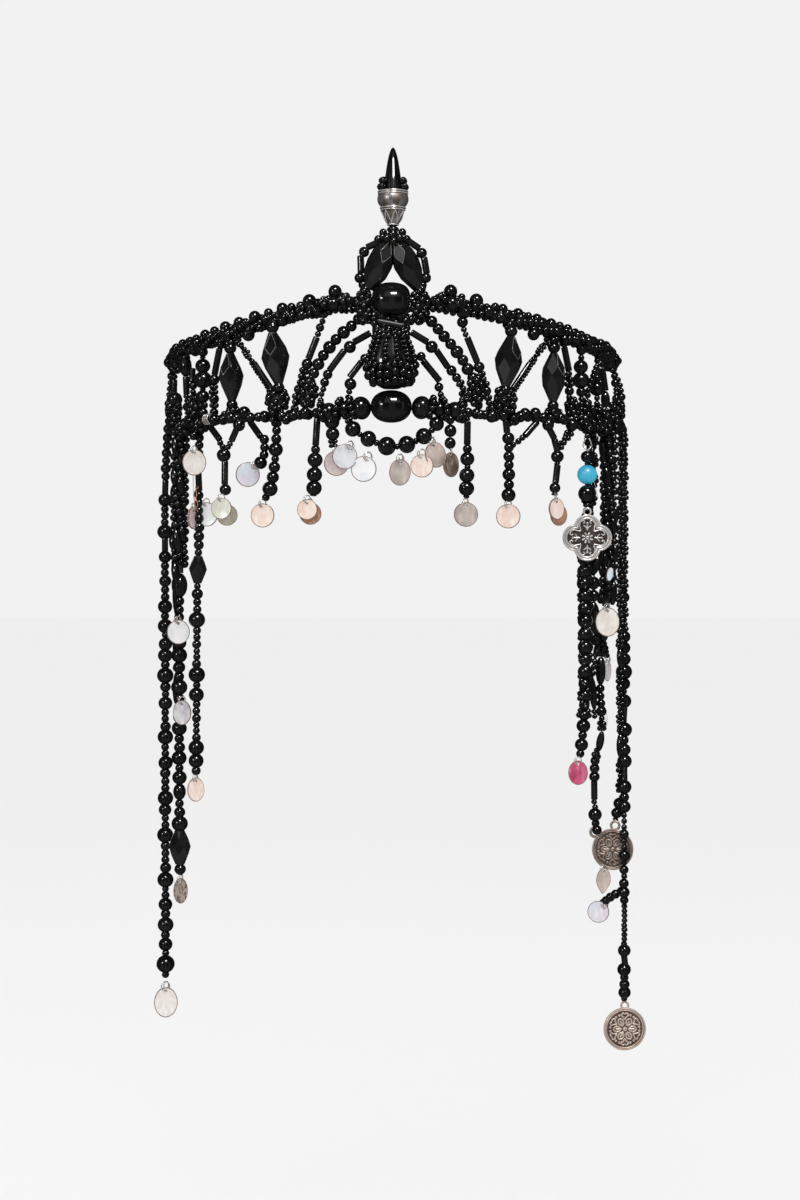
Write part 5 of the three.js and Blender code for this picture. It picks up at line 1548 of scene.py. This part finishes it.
def add_relief(heap, finish_name, radius):
    """Petals round a boss, with a pair of curls and two dots outside every petal."""

    def around(bend, rows):
        return [(radius * r * math.cos(bend + a), radius * r * math.sin(bend + a)) for r, a in rows]

    for i in range(PETALS):
        bend = 2 * math.pi * i / PETALS
        raised_line(heap, finish_name, around(bend, PETAL), RELIEF_DEPTH, 0.36)
        raised_line(heap, finish_name, around(bend, VEIN), RELIEF_DEPTH, 0.42)
        for side in (-1, 1):
            curl = around(bend + math.pi / PETALS, [[r, side * a] for r, a in CURL])
            raised_line(heap, finish_name, curl, RELIEF_DEPTH, 0.33)
        for x, z in around(bend, [[0.69, -0.13], [0.69, 0.13]]):
            heap.place(finish_name, "small", [x, -RELIEF_DEPTH, z], [0, 1, 0], 0.5, 0.42)
    heap.place(finish_name, "small", [0, -RELIEF_DEPTH - 0.05, 0], [0, 1, 0], 0.9, 0.6)


def add_medallions():
    for name, angle, z, width, turn, out, metal, rings in MEDALLIONS:
        heap = Heap(name)
        table = [[("umber" if i % 2 else metal), rows] for i, rows in enumerate(MEDALLION_PLATES)]
        plates(heap, table, lambda inset: circle(72) * (0.01 if inset is None else width / 2 - inset))
        add_relief(heap, metal, width / 2)
        for x, up, size in rings:
            heap.place(metal, "bail_ring", [x, -0.65, up], [0.1, 1, 0], size, size)
        heap.move(on_band(angle, z, out), turn)
        if name == "medallion_upper":
            # A leaf of pale shell hangs from the medallion's lower left.
            shell(heap, "stone", LEAF["middle"], LEAF["wide"], LEAF["tall"], 6, 4, point=0.55)
            jump_rings(heap, LEAF["middle"] + np.array([0, 0, LEAF["tall"] / 2 - 0.2]), 50)
        heap.finish()


add_top_rail()
add_bottom_rails()
add_lattice()
add_panel_drops()
add_centre()
add_crest()
add_fringe()
add_strands()
add_charm_string()
add_quatrefoil()
add_medallions()


# Studio.
FLOOR_Z = -300
FLOOR_REACH = 30  # metres from its middle to its edges
BACKDROP = (0.885, 0.885, 0.887)


def add_floor():
    mesh = bpy.data.meshes.new("floor")
    sides = ((-1, -1), (1, -1), (1, 1), (-1, 1))
    corners = [(x * FLOOR_REACH, y * FLOOR_REACH, FLOOR_Z * MM) for x, y in sides]
    mesh.from_pydata(corners, [], [(0, 1, 2, 3)])
    floor = bpy.data.objects.new("floor", mesh)
    bpy.context.scene.collection.objects.link(floor)
    finish = Finish("pale_floor", Roughness=0.9, Specular_IOR_Level=0.0)
    colour = finish.mixed(finish.noise(3.0), (0.89, 0.89, 0.885), (0.9, 0.9, 0.895))
    mesh.materials.append(finish.dress(Base_Color=colour))
    floor.visible_glossy = False


# The studio as polished surfaces show it: upright panels of light, by azimuth from the front,
# half-width, lowest and highest height on the unit sphere, and brightness.
PANELS = [
    [6, 34, 0.42, 0.88, 0.55],
    [11, 6, 0.5, 0.8, 1.2],
    [-52, 7, 0.25, 0.55, 1.2],
    [4, 10, -0.5, 0.45, 0.17],
    [-44, 8, -0.5, 0.4, 0.35],
    [54, 6, -0.35, 0.5, 0.35],
]


def add_world():
    """Pale behind everything; soft white on matt surfaces; dark with a few panels in reflections."""
    world = bpy.data.worlds.new("studio")
    bpy.context.scene.world = world
    world.use_nodes = True
    world.cycles.sampling_method = "NONE"
    shader = Shader(world.node_tree)
    direction = shader.node("ShaderNodeTexCoord", output="Generated")
    across = shader.node("ShaderNodeSeparateXYZ", None, {0: direction}, "X")
    depth = across.output("Y")
    height = across.output("Z")
    azimuth = across.maths("ARCTAN2", depth * -1)
    front = shader.between(depth, 0.3, -0.4)
    mirrored = 0.022 + shader.between(height, -0.1, -0.7, 0.0, 0.2) * front
    for middle, half, low, high, strength in PANELS:
        half = math.radians(half)
        off = (azimuth - math.radians(middle)).maths("ABSOLUTE")
        panel = shader.between(off, half * 1.2, half * 0.8, 0.0, strength)
        panel = panel * shader.between(height, low - 0.1, low + 0.1)
        panel = panel * shader.between(height, high + 0.08, high - 0.08)
        mirrored = mirrored + panel
    camera = shader.node("ShaderNodeLightPath", output="Is Camera Ray")
    grey = shader.node("ShaderNodeCombineColor", None, {0: mirrored, 1: mirrored, 2: mirrored})
    lit = shader.mixed(camera.output("Is Diffuse Ray"), grey, (0.96, 0.96, 0.965))
    background = world.node_tree.nodes["Background"]
    shader.feed(background.inputs["Color"], shader.mixed(camera, lit, BACKDROP))


def add_light(name, azimuth, elevation, distance, width, height, radiance, soft):
    """A rectangular lamp that faces the band, by direction from the front, with a set radiance.
    Soft lamps light matt surfaces; the others only show as sparkles in polished ones."""
    data = bpy.data.lights.new(name, "AREA")
    data.shape = "RECTANGLE"
    data.size = width
    data.size_y = height
    data.energy = radiance * math.pi * width * height
    lamp = bpy.data.objects.new(name, data)
    bpy.context.scene.collection.objects.link(lamp)
    turn, rise = math.radians(azimuth), math.radians(elevation)
    back = np.array([math.sin(turn) * math.cos(rise), -math.cos(turn) * math.cos(rise), math.sin(rise)])
    lamp.location = back * distance + [0, -0.05, -0.05]
    lamp.rotation_mode = "QUATERNION"
    lamp.rotation_quaternion = Vector(-back).to_track_quat("-Z", "Y")
    lamp.visible_camera = False
    lamp.visible_diffuse = soft
    lamp.visible_glossy = not soft


def add_lights():
    # Name, azimuth, elevation, distance, width, height, radiance, soft.
    add_light("main_sparkle", 11, 49, 1.3, 0.36, 0.26, 72, False)
    add_light("left_sparkle", -40, 15, 1.4, 0.2, 0.2, 34, False)
    add_light("key_soft", -20, 50, 1.2, 0.9, 0.9, 1.1, True)


def add_camera():
    data = bpy.data.cameras.new("camera")
    data.lens = 75
    data.sensor_width = 36
    data.sensor_fit = "AUTO"
    camera = bpy.data.objects.new("camera", data)
    bpy.context.scene.collection.objects.link(camera)
    camera.location = (0.0018, -0.934, -0.0656)
    camera.rotation_euler = (math.radians(90), 0, 0)
    bpy.context.scene.camera = camera


add_floor()
add_world()
add_lights()
add_camera()
bpy.context.scene.view_settings.view_transform = "Standard"
